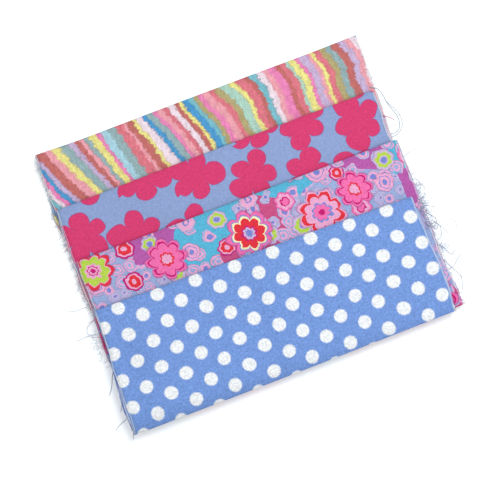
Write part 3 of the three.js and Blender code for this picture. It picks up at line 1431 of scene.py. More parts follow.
    def _straying(self, run: Numbers) -> Numbers:
        """How far a raw end strays along its length: a sum of sines with random phases."""
        phases = self.random.uniform(0, FULL_TURN, len(self.ragged))
        return sum(a * np.sin(FULL_TURN * run / w + p) for (w, a), p in zip(self.ragged, phases))

    def shape(self) -> None:
        """Works out the two faces.

        A point of the centre surface lies between the bowed front and back edges by its
        row's depth, and between the bowed left and right edges by its column's share, plus
        the row's shift and the raw ends' straying. Each face lies half a sheet from it,
        along the direction square to the rows' run.
        """
        rows, top_start = self._centre_line()
        depth, offset, height, left_out, right_out = rows.T[:, None, :]
        share = np.linspace(0, 1, self.columns + 1)[:, None]
        shape, corner = self.outline, self.corner
        front = bowed(corner["front_left"][1], corner["front_right"][1], -shape.bow_front, share)
        back = bowed(corner["back_left"][1], corner["back_right"][1], shape.bow_back, share)
        left = bowed(corner["front_left"][0], corner["back_left"][0], -shape.bow_left, depth)
        right = bowed(corner["front_right"][0], corner["back_right"][0], shape.bow_right, depth)
        y = blend(front, back, depth) + offset
        z = height + 0 * y
        top = self._level(self.layers - 1)
        down = (top - height) / self.pitch
        left = left + sum(bulge.shift(y[:1], down) for bulge in self.bulges if bulge.side < 0)
        right = right + sum(bulge.shift(y[-1:], down) for bulge in self.bulges if bulge.side > 0)
        x = blend(left, right, share)
        moves = np.cumsum(np.hypot(np.diff(y, axis=1), np.diff(z, axis=1)), axis=1)
        run = np.concatenate([np.zeros((len(y), 1)), moves], axis=1)
        along = run - run[:, [top_start]] - y[:, [top_start]]
        spots = np.stack([x, along], axis=-1)
        middle_run = run[self.columns // 2][None]
        out_left = left_out + self._straying(middle_run)
        out_right = right_out + self._straying(middle_run)
        x = x + blend(-out_left, out_right, share)
        run_y, run_z = np.gradient(y, axis=1), np.gradient(z, axis=1)
        size = np.hypot(run_y, run_z)
        sides = []
        for way in (self.sheet / 2, -self.sheet / 2):
            side_y, side_z = y + way * (run_z / size), z + way * (-run_y / size)
            sides.append(np.stack([x, side_y, RELIEF.lift(x, side_y, side_z)], axis=-1))
        # painted shade along the back folds, added to the relief's painted shade of troughs and the
        # front's bend
        dimming, reach = self.back_dimming
        self.faces = Faces(
            printed=sides[0],
            wrong=sides[1],
            spots=spots,
            from_edge=np.minimum(share, 1 - share) * (x[-1] - x[0]),
            beyond=self._beyond(x, y, height[0]),
            hollow=RELIEF.hollow(x, y) + dimming * bell(y - y.max(axis=1, keepdims=True), reach),
            on_top=z > top - self.pitch / 2,
        )

    def _past_fold(self, above: "FoldedCut | None") -> Numbers:
        """How far each point of the top layer lies behind the back fold of the cloth above.

        Args:
            above: the next cloth up, or none.

        Returns:
            The distances by column and row, and a long way off the top layer.
        """
        far = np.full(self.faces.on_top.shape, self.nothing_above)
        if above is None:
            return far
        x, y = self.faces.printed[..., 0], self.faces.printed[..., 1]
        edge = above.faces.printed
        back = edge[..., 1].argmax(axis=1)[:, None]
        edge_x, edge_y = (np.take_along_axis(edge[..., k], back, axis=1)[:, 0] for k in (0, 1))
        fold = np.interp(x, edge_x, edge_y, -self.nothing_above, -self.nothing_above)
        covered = self.faces.on_top & (fold > -self.nothing_above)
        return np.where(covered, y - fold, far)

    def _beyond(self, x: Numbers, y: Numbers, height: Numbers) -> Numbers:
        """How far each point lies outside the layers above it.

        The outermost raw end of the layers above, at the same place from front to back,
        is taken off the point's own distance outward, to the left and to the right.

        Args:
            x: the points' x, by column and row.
            y: the points' y, by column and row.
            height: the rows' heights before the relief.

        Returns:
            The larger of both sides' differences, and a long way where nothing lies above.
        """
        found = []
        for column, side in ((0, -1), (-1, 1)):
            cover = np.full(len(height), -np.inf)
            end_x, end_y = side * x[column], y[column]
            for level in map(self._level, range(self.layers)):
                flat = np.flatnonzero(np.isclose(height, level))
                order = flat[np.argsort(end_y[flat])]
                end = np.interp(end_y, end_y[order], end_x[order], -np.inf, -np.inf)
                cover = np.where(level > height + self.sheet / 2, np.maximum(cover, end), cover)
            found.append(side * x - cover)
        return np.minimum(np.maximum(*found), self.nothing_above)

    def build(self, above: "FoldedCut | None") -> bpy.types.Object:
        """Makes the closed sheet.

        Args:
            above: the cloth that lies on it, or none.

        Returns:
            The sheet.
        """
        faces = self.faces
        columns, rows, _ = faces.printed.shape
        number = np.arange(columns * rows).reshape(columns, rows)
        other = number + columns * rows
        quads = [
            grid_quads(columns, rows, 0, turned=False),
            grid_quads(columns, rows, columns * rows, turned=True),
            rim_quads(number[0], other[0]),
            rim_quads(other[-1], number[-1]),
            rim_quads(other[:, 0], number[:, 0]),
            rim_quads(number[:, -1], other[:, -1]),
        ]
        points = np.concatenate([faces.printed.reshape(-1, 3), faces.wrong.reshape(-1, 3)])
        made = fill_mesh(self.piece, points, quads)
        smooth = np.arange(len(made.data.polygons)) < len(quads[0]) + len(quads[1])
        made.data.polygons.foreach_set("use_smooth", smooth)
        store_map(made.data, "Cloth", np.tile(faces.spots.reshape(-1, 2), (2, 1)))
        store(made.data, "wrong_side", np.repeat([0.0, 1.0], columns * rows))
        for name in ("from_edge", "beyond", "hollow"):
            store(made.data, name, np.tile(getattr(faces, name).ravel(), 2))
        store(made.data, "past_fold", np.tile(self._past_fold(above).ravel(), 2))
        made.data.materials.append(self.finish.material())
        return made

    def declare(self, made: bpy.types.Object, threads: list[bpy.types.Object]) -> None:
        """Attaches the cloth to the root body in its solid's place and hides the solid.

        Args:
            made: the cloth.
            threads: the loose threads that go with it; not used.
        """
        width = float(np.mean(self.faces.printed[-1, :, 0] - self.faces.printed[0, :, 0]))
        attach(made, "root")
        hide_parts(self.node)
        list(self.below)


# ---- Loose threads ----------------------------------------------------------------------


def smooth_path(points: tuple[Point, ...], steps: int) -> Numbers:
    """A smooth line: between two points, the Catmull-Rom cubic of them and their neighbours.

    Args:
        points: the points that the line passes.
        steps: how many points the line gets.

    Returns:
        The line's points.
    """
    knots = np.array(points, float)
    knots = np.concatenate([[2 * knots[0] - knots[1]], knots, [2 * knots[-1] - knots[-2]]])
    place = np.linspace(0, len(points) - 1, steps)
    number = np.minimum(place.astype(int), len(points) - 2)
    t = (place - number)[:, None]
    a, b, c, d = (knots[number + k] for k in range(4))
    square, cube = 2 * a - 5 * b + 4 * c - d, 3 * b - a - 3 * c + d
    return 0.5 * (2 * b + (c - a) * t + square * t**2 + cube * t**3)


def joined(parts: list[tuple[Numbers, list[Numbers]]]) -> tuple[Numbers, list[Numbers]]:
    """Several meshes as one.

    Args:
        parts: each mesh's vertices and its arrays of faces.

    Returns:
        The vertices in a row, and the faces renumbered.
    """
    starts = np.cumsum([0] + [len(points) for points, _ in parts])
    faces = [block + start for (_, blocks), start in zip(parts, starts) for block in blocks]
    return np.concatenate([points for points, _ in parts]), faces


@dataclass(frozen=True)
class Fringe:
    """Short fibres along a stretch of a raw end."""

    side: int  # -1 left, 1 right
    start: float  # y of its front end
    end: float  # y of its back end
    hairs: int
    length: float
    lean: float = -0.45  # heading from straight outward, in radians: below zero to the front
    spread: float = 0.5
    curl: float = 0.2
    radius: float = 0.13


@dataclass(frozen=True)
class Tangle:
    """Threads that curl over and over each other beside a raw end."""

    low: Point
    high: Point
    threads: int
    loop: float  # radius of the curls
    stride: float  # how far a thread wanders from its start
    radius: float = 0.15
    turns: tuple[float, float] = (0.5, 2.2)  # least and most curls of a thread
    swing: tuple[float, float] = (0.4, 1.4)  # least and most size of a thread's curls
    wander: tuple[float, float] = (0.3, 1.3)  # least and most stride
    flatness: float = 0.22  # height of the curls over their width
    bob: float = 1.3  # rises and falls for each curl


@dataclass(frozen=True)
class Strand:
    """One long loose thread through given points."""

    radius: float
    dye: Dye
    points: tuple[Point, ...]


@dataclass
class Fraying:
    """The fibres and loose threads that stand out of one cut's raw ends."""

    cut: FoldedCut
    piece: str
    yarn: Yarn
    seed: int
    fringes: tuple[Fringe, ...] = ()
    tangles: tuple[Tangle, ...] = ()
    strands: tuple[Strand, ...] = ()
    sides: int = 4
    steps: int = 7  # points of a short fibre
    long_steps: int = 26  # points of a curled or a long thread
    rest_height: float = 0.02  # of a thread's underside over the floor
    length_spread: float = 0.5
    longest: float = 3.0  # times the fringe's length
    slope_spread: float = 0.25
    sinking: float = 0.08  # of a fibre's slope, for each millimetre
    thickness_spread: float = 0.3
    tip: float = 0.7  # a thread's radius at its tip over that at its root
    random: np.random.Generator = field(init=False)

    def __post_init__(self) -> None:
        """Starts the random numbers."""
        self.random = np.random.default_rng(self.seed)

    def _hairs(self, fringe: Fringe) -> Numbers:
        """The paths of one fringe's fibres.

        A fibre starts at a random place of the raw end. Its heading is the fringe's lean
        and a random angle, plus a steady curl along it, and its slope sinks steadily.

        Args:
            fringe: where the fibres are and how they lie.

        Returns:
            The paths, as fibre by point by x, y and z.
        """
        random, faces, each = self.random, self.cut.faces, (fringe.hairs, 1)
        column = 0 if fringe.side < 0 else -1
        edge = (faces.printed[column] + faces.wrong[column]) / 2
        fits = np.flatnonzero((edge[:-1, 1] > fringe.start) & (edge[:-1, 1] < fringe.end))
        row = random.choice(fits, fringe.hairs)
        root = blend(edge[row], edge[row + 1], random.random(each))
        length = fringe.length * random.lognormal(0.0, self.length_spread, each)
        length = np.minimum(length, self.longest * fringe.length)
        along = np.linspace(0, 1, self.steps)[None]
        heading = random.normal(fringe.lean, fringe.spread, each)
        heading = heading + random.normal(0, fringe.curl, each) * along * length
        slope = random.normal(0.0, self.slope_spread, each) - self.sinking * along * length
        outward, flat = fringe.side * np.cos(heading), np.cos(slope)
        move = np.stack([outward * flat, np.sin(heading) * flat, np.sin(slope)], axis=-1)
        move = move * (length / (self.steps - 1))[..., None]
        move[:, 0] = 0
        return root[:, None] + np.cumsum(move, axis=1)

    def _curls(self, tangle: Tangle) -> Numbers:
        """The paths of one tangle's threads.

        A thread wanders straight from a random place of the tangle's box in a random
        direction, and circles round that line with a changing radius.

        Args:
            tangle: where the threads are and how they curl.

        Returns:
            The paths, as thread by point by x, y and z.
        """
        random, each = self.random, (tangle.threads, 1, 1)
        start = random.uniform(tangle.low, tangle.high, (tangle.threads, 3))[:, None]
        along = np.linspace(0, 1, self.long_steps)[None, :, None]
        angle = random.uniform(0, FULL_TURN, each)
        way = np.concatenate([np.cos(angle), np.sin(angle), 0 * angle], axis=2)
        turns = random.uniform(*tangle.turns, each) * random.choice([-1, 1], each)
        phase = random.uniform(0, FULL_TURN, each) + FULL_TURN * turns * along
        swing = tangle.loop * random.uniform(*tangle.swing, each) * (0.5 + along)
        bob = tangle.flatness * np.sin(phase * tangle.bob)
        circle = np.concatenate([np.cos(phase), np.sin(phase), bob], axis=2)
        stride = tangle.stride * random.uniform(*tangle.wander, each)
        return start + way * along * stride + circle * swing

    def _part(self, paths: Numbers, radius: float, spread: float) -> tuple[Numbers, list[Numbers]]:
        """Tubes along paths, each thinner to its tip.

        Args:
            paths: the paths, as thread by point by x, y and z.
            radius: the threads' mean radius.
            spread: how much thicker or thinner a thread may be, as a share.

        Returns:
            The vertices and the arrays of faces.
        """
        taper = np.linspace(1, self.tip, paths.shape[1])[None]
        radii = radius * self.random.uniform(1 - spread, 1 + spread, (len(paths), 1)) * taper
        paths[..., 2] = np.maximum(paths[..., 2], radii + self.rest_height)
        return tubes(paths, radii, self.sides)

    def build(self) -> bpy.types.Object:
        """Makes all the threads of the cut as one mesh.

        Returns:
            The threads.
        """
        parts, tones = [], []
        drawn = [(self._hairs(fringe), fringe.radius) for fringe in self.fringes]
        drawn += [(self._curls(tangle), tangle.radius) for tangle in self.tangles]
        for paths, radius in drawn:
            parts.append(self._part(paths, radius, self.thickness_spread))
            tones.append(np.repeat(self.random.random(len(paths)), len(parts[-1][0]) // len(paths)))
        for strand in self.strands:
            path = smooth_path(strand.points, self.long_steps)[None]
            parts.append(self._part(path, strand.radius, 0.0))
            tone = (self.yarn.dyes.index(strand.dye) + 0.5) / len(self.yarn.dyes)
            tones.append(np.full(len(parts[-1][0]), tone))
        made = fill_mesh(self.piece, *joined(parts))
        made.data.polygons.foreach_set("use_smooth", np.ones(len(made.data.polygons), bool))
        store(made.data, "tone", np.concatenate(tones) * BELOW_ONE)
        made.data.materials.append(self.yarn.material())
        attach(made, "root")
        return made


# ---- The bundle -------------------------------------------------------------------------


def random_bands(seed: int, count: int) -> tuple[tuple[Dye, float], ...]:
    """A random order of stripes with no colour close to itself.

    Args:
        seed: the seed of the random numbers.
        count: how many stripes there are.

    Returns:
        Each stripe's dye and width.
    """
    random = np.random.default_rng(seed)
    frequencies = {
        Dye.CORAL: 11, Dye.RUST: 5, Dye.TEAL: 4, Dye.LIGHT_BLUE: 4, Dye.YELLOW: 8,
        Dye.LILAC: 4, Dye.GREY_TEAL: 4, Dye.SALMON: 9, Dye.OLIVE: 2, Dye.HOT_PINK: 5,
        Dye.BRIGHT_BLUE: 2, Dye.MINT: 3, Dye.SHELL: 5,
    }
    narrowest, widest, apart = 2.2, 5.4, 3
    dyes, weights = list(frequencies), np.array(list(frequencies.values()), float)
    bands = []
    while len(bands) < count:
        dye = dyes[random.choice(len(dyes), p=weights / weights.sum())]
        if dye not in [recent for recent, _ in bands[-apart:]]:
            bands.append((dye, round(float(random.uniform(narrowest, widest)), 1)))
    return tuple(bands)


def stripe_cut() -> FoldedCut:
    """The lowest and deepest pad.

    Returns:
        The cut, not yet shaped.
    """
    return FoldedCut(
        node="stripe_cloth",
        piece="stripe_cotton",
        slot="stripe_print",
        layers=6,
        outline=Outline((2.4, 2.5), (0.0, 0.0), (5.5, 3.2), (1.4, 0.0), 0.4, -1.2, -0.8, -0.3),
        turns=(Turn(), Turn(), Turn(-0.2, 0.1, 0.4), Turn(0.1, -0.4, 0.6), Turn(-0.3, -0.6, 0.5)),
        bulges=(
            Bulge(1, 72, 1.3, 26),
            Bulge(-1, 90, -1.0, 16, 1),
            Bulge(-1, 58, 2.6, 12, 2),
            Bulge(-1, 30, 0.9, 12, 1),
        ),
        finish=StripePrint("striped_cotton", bands=random_bands(27, 62)),
        seed=11,
    )


def flower_cut() -> FoldedCut:
    """The second pad.

    Returns:
        The cut, not yet shaped.
    """
    return FoldedCut(
        node="flower_cloth",
        piece="flower_cotton",
        slot="flower_print",
        layers=7,
        outline=Outline((0.2, 2.48), (1.8, 0.0), (4.3, 3.2), (0.5, 0.0), 0.5, -0.6, -0.3, 0.3),
        turns=(Turn(), Turn(), Turn(-0.1, -0.2, 0.5), Turn(-0.2, -0.3, 0.4), Turn(0.0, -0.5, 0.5)),
        bulges=(
            Bulge(1, 50, 0.8, 12),
            Bulge(-1, 40, 0.7, 14, 1),
            Bulge(-1, 4, 1.7, 24, 1),
            Bulge(-1, -42, 2.2, 19),
        ),
        finish=FlowerPrint("flowered_cotton", paleness=0.42, uneven=0.85),
        seed=22,
        below=("stripe_cotton",),
    )


def rosette_cut() -> FoldedCut:
    """The third pad.

    Returns:
        The cut, not yet shaped.
    """
    rings = (
        (
            (0.0, Dye.CRIMSON), (0.12, Dye.PALE_PINK), (0.2, Dye.CRIMSON), (0.26, Dye.PALE_PINK),
            (0.4, Dye.LIME), (0.74, Dye.PALE_PINK), (0.8, Dye.RED),
        ),
        (
            (0.0, Dye.PALE_PINK), (0.26, Dye.RED), (0.36, Dye.PINK), (0.78, Dye.CRIMSON),
            (0.87, Dye.PINK),
        ),
        (
            (0.0, Dye.VIOLET_BLUE), (0.16, Dye.LILAC), (0.26, Dye.CRIMSON), (0.34, Dye.RED),
            (0.66, Dye.CREAM), (0.76, Dye.VIOLET_BLUE), (0.82, Dye.PINK),
        ),
        (
            (0.0, Dye.CRIMSON), (0.14, Dye.PINK), (0.34, Dye.VIOLET_BLUE), (0.42, Dye.PALE_PINK),
            (0.72, Dye.RED), (0.88, Dye.PALE_PINK),
        ),
    )
    small = (
        (
            (0.0, Dye.VIOLET_BLUE), (0.3, Dye.PALE_PINK), (0.62, Dye.VIOLET_BLUE),
            (0.7, Dye.PALE_PINK),
        ),
        ((0.0, Dye.PALE_PINK), (0.24, Dye.VIOLET_BLUE), (0.4, Dye.PALE_PINK), (0.82, Dye.LILAC)),
        ((0.0, Dye.PALE_PINK), (0.26, Dye.RED), (0.62, Dye.PALE_PINK), (0.8, Dye.CRIMSON)),
        ((0.0, Dye.VIOLET_BLUE), (0.3, Dye.LILAC), (0.42, Dye.LIME), (0.74, Dye.LILAC)),
        ((0.0, Dye.PINK), (0.4, Dye.CRIMSON), (0.52, Dye.PALE_PINK), (0.8, Dye.PINK)),
    )
    dots = (
        (
            (0.0, Dye.VIOLET_BLUE), (0.24, Dye.LILAC), (0.46, Dye.LILAC_BLUE), (0.58, Dye.LILAC),
            (0.7, Dye.LILAC_BLUE), (0.84, Dye.LILAC),
        ),
        (
            (0.0, Dye.LILAC_BLUE), (0.3, Dye.PALE_PINK), (0.56, Dye.LILAC_BLUE),
            (0.78, Dye.PALE_PINK),
        ),
        ((0.0, Dye.VIOLET_BLUE), (0.4, Dye.PALE_PINK), (0.74, Dye.LILAC_BLUE), (0.86, Dye.LILAC)),
    )
    return FoldedCut(
        node="rosette_cloth",
        piece="rosette_cotton",
        slot="rosette_print",
        layers=10,
        outline=Outline((3.0, 2.5), (0.0, 0.0), (1.5, 2.8), (1.5, 0.0), -0.4, -0.9, -0.2, 0.5),
        turns=(
            Turn(), Turn(), Turn(0.2, 0.3, 0.3), Turn(0.2, 0.7, 0.4), Turn(0.8, 0.2, 0.5),
            Turn(0.4, 0.6, 0.6),
        ),
        bulges=(
            Bulge(1, -36, 0.9, 14),
            Bulge(1, -64, -0.9, 11),
            Bulge(1, -92, 1.2, 11),
            Bulge(-1, -42, -1.6, 26),
        ),
        finish=RosettePrint(
            "rosette_cotton_print",
            sets=(
                MotifSet(9.2, 0.6, 4.4, 0.4, 1.0, 0.0, (3.0, 8.0, 0.0), dots, 0.45),
                MotifSet(23.0, 0.6, 6.6, 0.4, 7.0, 0.14, (0.0, 0.0, 0.0), small, 0.75),
                MotifSet(48.0, 0.5, 15.0, 0.3, 8.0, 0.3, (20.0, 12.0, 0.0), rings),
            ),
        ),
        seed=33,
        below=("flower_cotton",),
    )


def dot_cut() -> FoldedCut:
    """The top pad.

    Returns:
        The cut, not yet shaped.
    """
    return FoldedCut(
        node="dot_cloth",
        piece="dot_cotton",
        slot="dot_print",
        layers=14,
        wrap_stretch=2.2,
        outline=Outline((4.6, 0.0), (0.9, 2.6), (2.7, 1.6), (0.9, -0.6), 0.4, 0.4, 0.2, -0.2),
        turns=(
            Turn(), Turn(), Turn(-0.2, -0.5, 0.3), Turn(-0.2, -0.4, 0.3), Turn(-0.3, -0.3, 0.4),
            Turn(-0.4, -0.8, 0.5),
        ),
        bulges=(
            Bulge(1, -84, 1.5, 17),
            Bulge(-1, -57, 0.6, 8),
            Bulge(-1, -84, 1.2, 22, 1),
            Bulge(-1, -84, 1.1, 22, 5),
        ),
        finish=DotPrint("dotted_cotton", paleness=0.1, uneven=1.4),
        seed=44,
        below=("rosette_cotton",),
    )


def stripe_fraying(cut: FoldedCut) -> Fraying:
    """Thick fibres along the left, few on the right.

    Args:
        cut: the cut that the threads stand on.

    Returns:
        Its threads, not yet built.
    """
    return Fraying(
        cut,
        "stripe_threads",
        Yarn("stripe_yarn", (Dye.SLATE, Dye.DIM_GREY, Dye.TEAL, Dye.SALMON, Dye.ASH, Dye.ASH)),
        seed=51,
        fringes=(
            Fringe(-1, -100, -20, 24, 2.2),
            Fringe(-1, -15, 62, 70, 2.2),
            Fringe(-1, 62, 97, 150, 2.4, -0.3, 0.8, 0.3, 0.08),
            Fringe(1, -20, 102, 40, 1.4),
        ),
        strands=(
            Strand(0.19, Dye.ASH, (
                (-117.6, -30, 2.6), (-126.3, -28.7, 1.4), (-132.1, -29.0, 0.6),
                (-135.6, -28.5, 0.4),
            )),
            Strand(0.22, Dye.DIM_GREY, ((-118, -70, 1.8), (-120, -78, 1.0), (-123.5, -85, 0.4))),
            Strand(0.22, Dye.DIM_GREY, (
                (-118.6, -89.6, 1.6), (-122.8, -91.5, 1.0), (-127.5, -93.3, 0.5),
                (-131.2, -95.9, 0.4),
            )),
        ),
    )


def flower_fraying(cut: FoldedCut) -> Fraying:
    """Fibres along the left, and one large loop over the right end.

    Args:
        cut: the cut that the threads stand on.

    Returns:
        Its threads, not yet built.
    """
    return Fraying(
        cut,
        "flower_threads",
        Yarn("flower_yarn", (Dye.SLATE, Dye.PERIWINKLE, Dye.DIM_GREY, Dye.MAGENTA, Dye.ASH)),
        seed=52,
        fringes=(
            Fringe(-1, -18, 60, 80, 2.4),
            Fringe(-1, -62, -18, 12, 3.4),
            Fringe(1, -102, 60, 30, 1.3),
        ),
        strands=(
            Strand(0.36, Dye.ASH, (
                (116.8, 66.4, 4.4), (121.4, 62.6, 5.0), (122.9, 56.8, 5.2), (123.3, 51.4, 5.2),
                (124.8, 45.8, 5.2), (126.4, 40.6, 5.0), (126.4, 36.1, 4.8), (125.1, 32.0, 4.6),
                (121.9, 29.4, 4.6), (117.6, 29.2, 5.4),
            )),
            Strand(0.3, Dye.ASH, (
                (123.0, 53.6, 4.6), (125.8, 47.6, 4.4), (128.2, 41.6, 4.2), (128.4, 35.4, 4.2),
                (126.0, 30.6, 4.2), (121.4, 27.6, 4.4), (117.0, 27.2, 4.8),
            )),
            Strand(0.3, Dye.MAGENTA, ((117.0, 43.9, 5.2), (121.1, 40.7, 5.0), (123.6, 38.0, 4.6))),
            Strand(0.2, Dye.ASH, (
                (-117, -20, 4.6), (-124.4, -23.2, 4.0), (-125.6, -29.6, 3.4), (-118.4, -33.4, 4.4),
            )),
            Strand(0.26, Dye.DIM_GREY, (
                (-118.6, -58, 5.0), (-120.8, -61.7, 4.2), (-123.6, -67.9, 3.2),
                (-126.8, -72.1, 2.4),
            )),
        ),
    )


def rosette_fraying(cut: FoldedCut) -> Fraying:
    """A thick tangle over the right end, beside the top pad.

    Args:
        cut: the cut that the threads stand on.

    Returns:
        Its threads, not yet built.
    """
    return Fraying(
        cut,
        "rosette_threads",
        Yarn(
            "rosette_yarn",
            (Dye.SLATE, Dye.LILAC_BLUE, Dye.DIM_GREY, Dye.LILAC_BLUE, Dye.ASH, Dye.ASH),
        ),
        seed=53,
        fringes=(
            Fringe(-1, -102, 20, 24, 2.0),
            Fringe(1, 0, 22, 16, 1.2),
            Fringe(1, -100, 2, 60, 2.4, 0.1, 0.9, 0.3),
            Fringe(1, -74, -12, 26, 6.5, 0.0, 0.8, 0.12),
        ),
        tangles=(
            Tangle((114.6, -46.0, 10.7), (119.6, -22.0, 11.2), 20, 1.5, 4.0),
            Tangle((117.6, -26.0, 7.6), (121.0, -2.0, 10.4), 12, 2.0, 5.0),
            Tangle((117.8, -60.0, 7.6), (120.8, -24.0, 10.4), 12, 1.8, 5.0),
        ),
        strands=(
            Strand(0.22, Dye.ASH, (
                (116.6, 8.6, 9.8), (118.9, 9.8, 9.6), (123.8, 11.8, 9.2), (129.1, 12.9, 8.4),
                (134.0, 13.0, 7.6),
            )),
            Strand(0.22, Dye.DIM_GREY, (
                (116.8, -6.8, 9.8), (120.7, -7.7, 9.4), (122.5, -10.9, 9.0), (121.9, -13.9, 9.0),
                (117.8, -16.2, 9.8),
            )),
            Strand(0.22, Dye.ASH, (
                (118.6, -10.8, 9.0), (123.6, -13.2, 8.6), (123.1, -18.6, 8.6), (118.4, -22.6, 9.6),
            )),
            Strand(0.25, Dye.SLATE, (
                (117.6, -27.4, 9.8), (120.6, -27.9, 9.4), (125.8, -30.2, 8.4),
            )),
            Strand(0.23, Dye.DIM_GREY, (
                (117.4, -31.8, 9.9), (120.0, -34.0, 9.4), (122.8, -37.5, 8.8), (122.8, -40.7, 8.8),
                (118.4, -43.6, 9.6),
            )),
            Strand(0.24, Dye.ASH, ((132.7, -41.1, 6.6), (135.2, -44.7, 6.0), (134.3, -49.3, 5.6))),
            Strand(0.22, Dye.DIM_GREY, (
                (120.6, -39.0, 8.8), (123.7, -43.2, 8.4), (123.6, -46.4, 8.2), (122.0, -50.8, 8.2),
                (117.4, -53.4, 9.4),
            )),
            Strand(0.25, Dye.ASH, ((121.6, -41.2, 8.4), (124.8, -45.0, 8.0), (128.5, -53.9, 6.6))),
            Strand(0.26, Dye.DIM_GREY, (
                (116.2, -55.2, 9.6), (120.0, -58.2, 8.8), (123.6, -65.1, 7.8), (127.3, -62.8, 7.0),
            )),
            Strand(0.23, Dye.ASH, (
                (130.6, -66.9, 5.8), (127.3, -68.8, 6.4), (121.7, -73.5, 7.8), (116.8, -73.9, 9.2),
            )),
            Strand(0.26, Dye.DIM_GREY, (
                (115.8, -66.0, 9.6), (118.4, -69.7, 9.0), (121.6, -76.2, 7.8), (124.8, -82.6, 6.6),
            )),
            Strand(0.24, Dye.ASH, ((124.4, -80.4, 6.4), (123.4, -85.6, 6.6), (120.6, -92.0, 7.4))),
        ),
    )


def dot_fraying(cut: FoldedCut) -> Fraying:
    """Fibres along the left, and a thread's end behind the back fold.

    Args:
        cut: the cut that the threads stand on.

    Returns:
        Its threads, not yet built.
    """
    return Fraying(
        cut,
        "dot_threads",
        Yarn("dot_yarn", (Dye.DOT_BLUE, Dye.SLATE, Dye.DIM_GREY, Dye.ASH)),
        seed=54,
        fringes=(
            Fringe(-1, -104, -18, 20, 1.5),
            Fringe(1, -104, -20, 24, 0.8),
        ),
        tangles=(Tangle((-123.0, -50.0, 9.0), (-120.0, -28.0, 12.0), 9, 1.2, 4.0),),
        strands=(
            Strand(0.23, Dye.DOT_BLUE, (
                (5.4, -16.9, 14.6), (7.4, -16.0, 15.4), (9.6, -14.8, 15.0), (11.4, -13.8, 14.2),
            )),
            Strand(0.19, Dye.DIM_GREY, (
                (-115.6, -12.4, 11.0), (-122.0, -11.2, 9.6), (-129.5, -10.6, 7.6),
                (-134.8, -7.4, 6.0),
            )),
            Strand(0.24, Dye.SLATE, (
                (-119.6, -103.0, 12.0), (-121.4, -104.6, 11.2), (-122.0, -107.2, 9.6),
            )),
        ),
    )


# ---- Floor, light and camera ------------------------------------------------------------


def aim(made: bpy.types.Object, place: Vector, back: Vector) -> None:
    """Puts a lamp or a camera at a place in metres, with its back turned that way."""
    made.location = place
    made.rotation_euler = (-back).to_track_quat("-Z", "Y").to_euler()


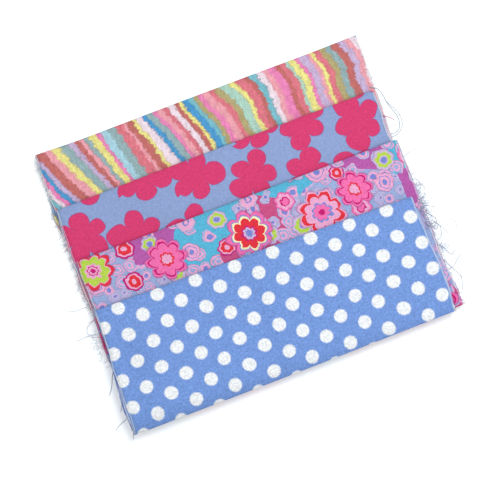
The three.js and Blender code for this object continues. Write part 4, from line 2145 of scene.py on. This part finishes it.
@dataclass(frozen=True)
class Studio:
    """A plain pale floor under soft light from the right and the back."""

    floor_size: float = 6000.0
    floor_tint: Point = (0.89, 0.955, 0.96)
    floor_glow: float = 0.32
    lamp_power: float = 5.0  # in watts
    lamp_size: float = 0.42  # in metres
    lamp_place: Point = (0.24, 0.03, 0.98)  # in metres
    sky: float = 0.6

    def build(self) -> None:
        """Makes the floor, the lamp and the world."""
        self._floor()
        self._lamp()
        self._world()

    def _floor(self) -> None:
        """A wide floor that keeps the bundle's shadow and looks white to the camera."""
        corners = np.array([(-1, -1, 0), (1, -1, 0), (1, 1, 0), (-1, 1, 0)])
        floor = fill_mesh("floor", corners * (self.floor_size / 2), [np.array([[0, 1, 2, 3]])])
        floor.data.materials.append(self._floor_finish())

    def _floor_finish(self) -> bpy.types.Material:
        """Matt grey-white, with a little of its own light for the camera's rays.

        Returns:
            The material.
        """
        made = bpy.data.materials.new("pale_floor")
        graph = fresh_graph(made)
        matt = graph.node("ShaderNodeBsdfDiffuse", {"Color": (*self.floor_tint, 1)})
        path = graph.node("ShaderNodeLightPath")
        seen = graph.out(path, "Is Camera Ray") + graph.out(path, "Is Glossy Ray")
        light = {"Color": WHITE_LIGHT, "Strength": seen * self.floor_glow}
        both = {0: graph.out(matt), 1: graph.out(graph.node("ShaderNodeEmission", light))}
        graph.finish("ShaderNodeOutputMaterial", "ShaderNodeAddShader", both)
        return made

    def _lamp(self) -> None:
        """One large soft lamp, turned to the bundle."""
        data = bpy.data.lights.new("softbox", "AREA")
        data.energy = self.lamp_power
        data.shape = "SQUARE"
        data.size = self.lamp_size
        aim(link("softbox", data), Vector(self.lamp_place), Vector(self.lamp_place))

    def _world(self) -> None:
        """Even light from all round, and a white surround for the camera's rays."""
        world = bpy.data.worlds.new("studio")
        graph = fresh_graph(world)
        path = graph.node("ShaderNodeLightPath")
        seen = graph.out(path, "Is Camera Ray").call("MAXIMUM", graph.out(path, "Is Glossy Ray"))
        light = {"Color": WHITE_LIGHT, "Strength": seen * (1 - self.sky) + self.sky}
        graph.finish("ShaderNodeOutputWorld", "ShaderNodeBackground", light)
        bpy.context.scene.world = world


@dataclass(frozen=True)
class Viewpoint:
    """The camera: where it looks, from where, and how wide a field it takes in."""

    target: Point = (-6.15, -2.57, 0.0)
    azimuth: float = math.radians(-21)
    elevation: float = math.radians(76)
    distance: float = 1600.0
    field_width: float = 328.3  # at the distance of the target
    sensor: float = 36.0
    clip: tuple[float, float] = (0.05, 20.0)  # in metres

    def build(self) -> None:
        """Makes the camera and gives it to the scene."""
        level = math.cos(self.elevation)
        x, y = math.sin(self.azimuth) * level, -math.cos(self.azimuth) * level
        back = Vector((x, y, math.sin(self.elevation)))
        data = bpy.data.cameras.new("camera")
        data.sensor_width = self.sensor
        data.lens = self.sensor * self.distance / self.field_width
        data.clip_start, data.clip_end = self.clip
        camera = link("camera", data)
        aim(camera, (Vector(self.target) + back * self.distance) * MM, back)
        bpy.context.scene.camera = camera


def main() -> None:
    """Builds the camera, the studio and each piece of the bundle."""
    logging.basicConfig(level=logging.INFO, format="%(name)s: %(message)s")
    bpy.context.scene.view_settings.view_transform = "Standard"
    Viewpoint().build()
    Studio().build()
    cuts = [stripe_cut(), flower_cut(), rosette_cut(), dot_cut()]
    frayings = [stripe_fraying, flower_fraying, rosette_fraying, dot_fraying]
    for cut in cuts:
        cut.shape()
    cloths = [cut.build(above) for cut, above in zip(cuts, [*cuts[1:], None])]
    for cut, cloth, fraying in zip(cuts, cloths, frayings):
        threads = fraying(cut).build()
        cut.declare(cloth, [threads])
        for piece in (cloth, threads):
            LOG.info("%s: %d faces", piece.name, len(piece.data.polygons))


if __name__ == "__main__":
    main()
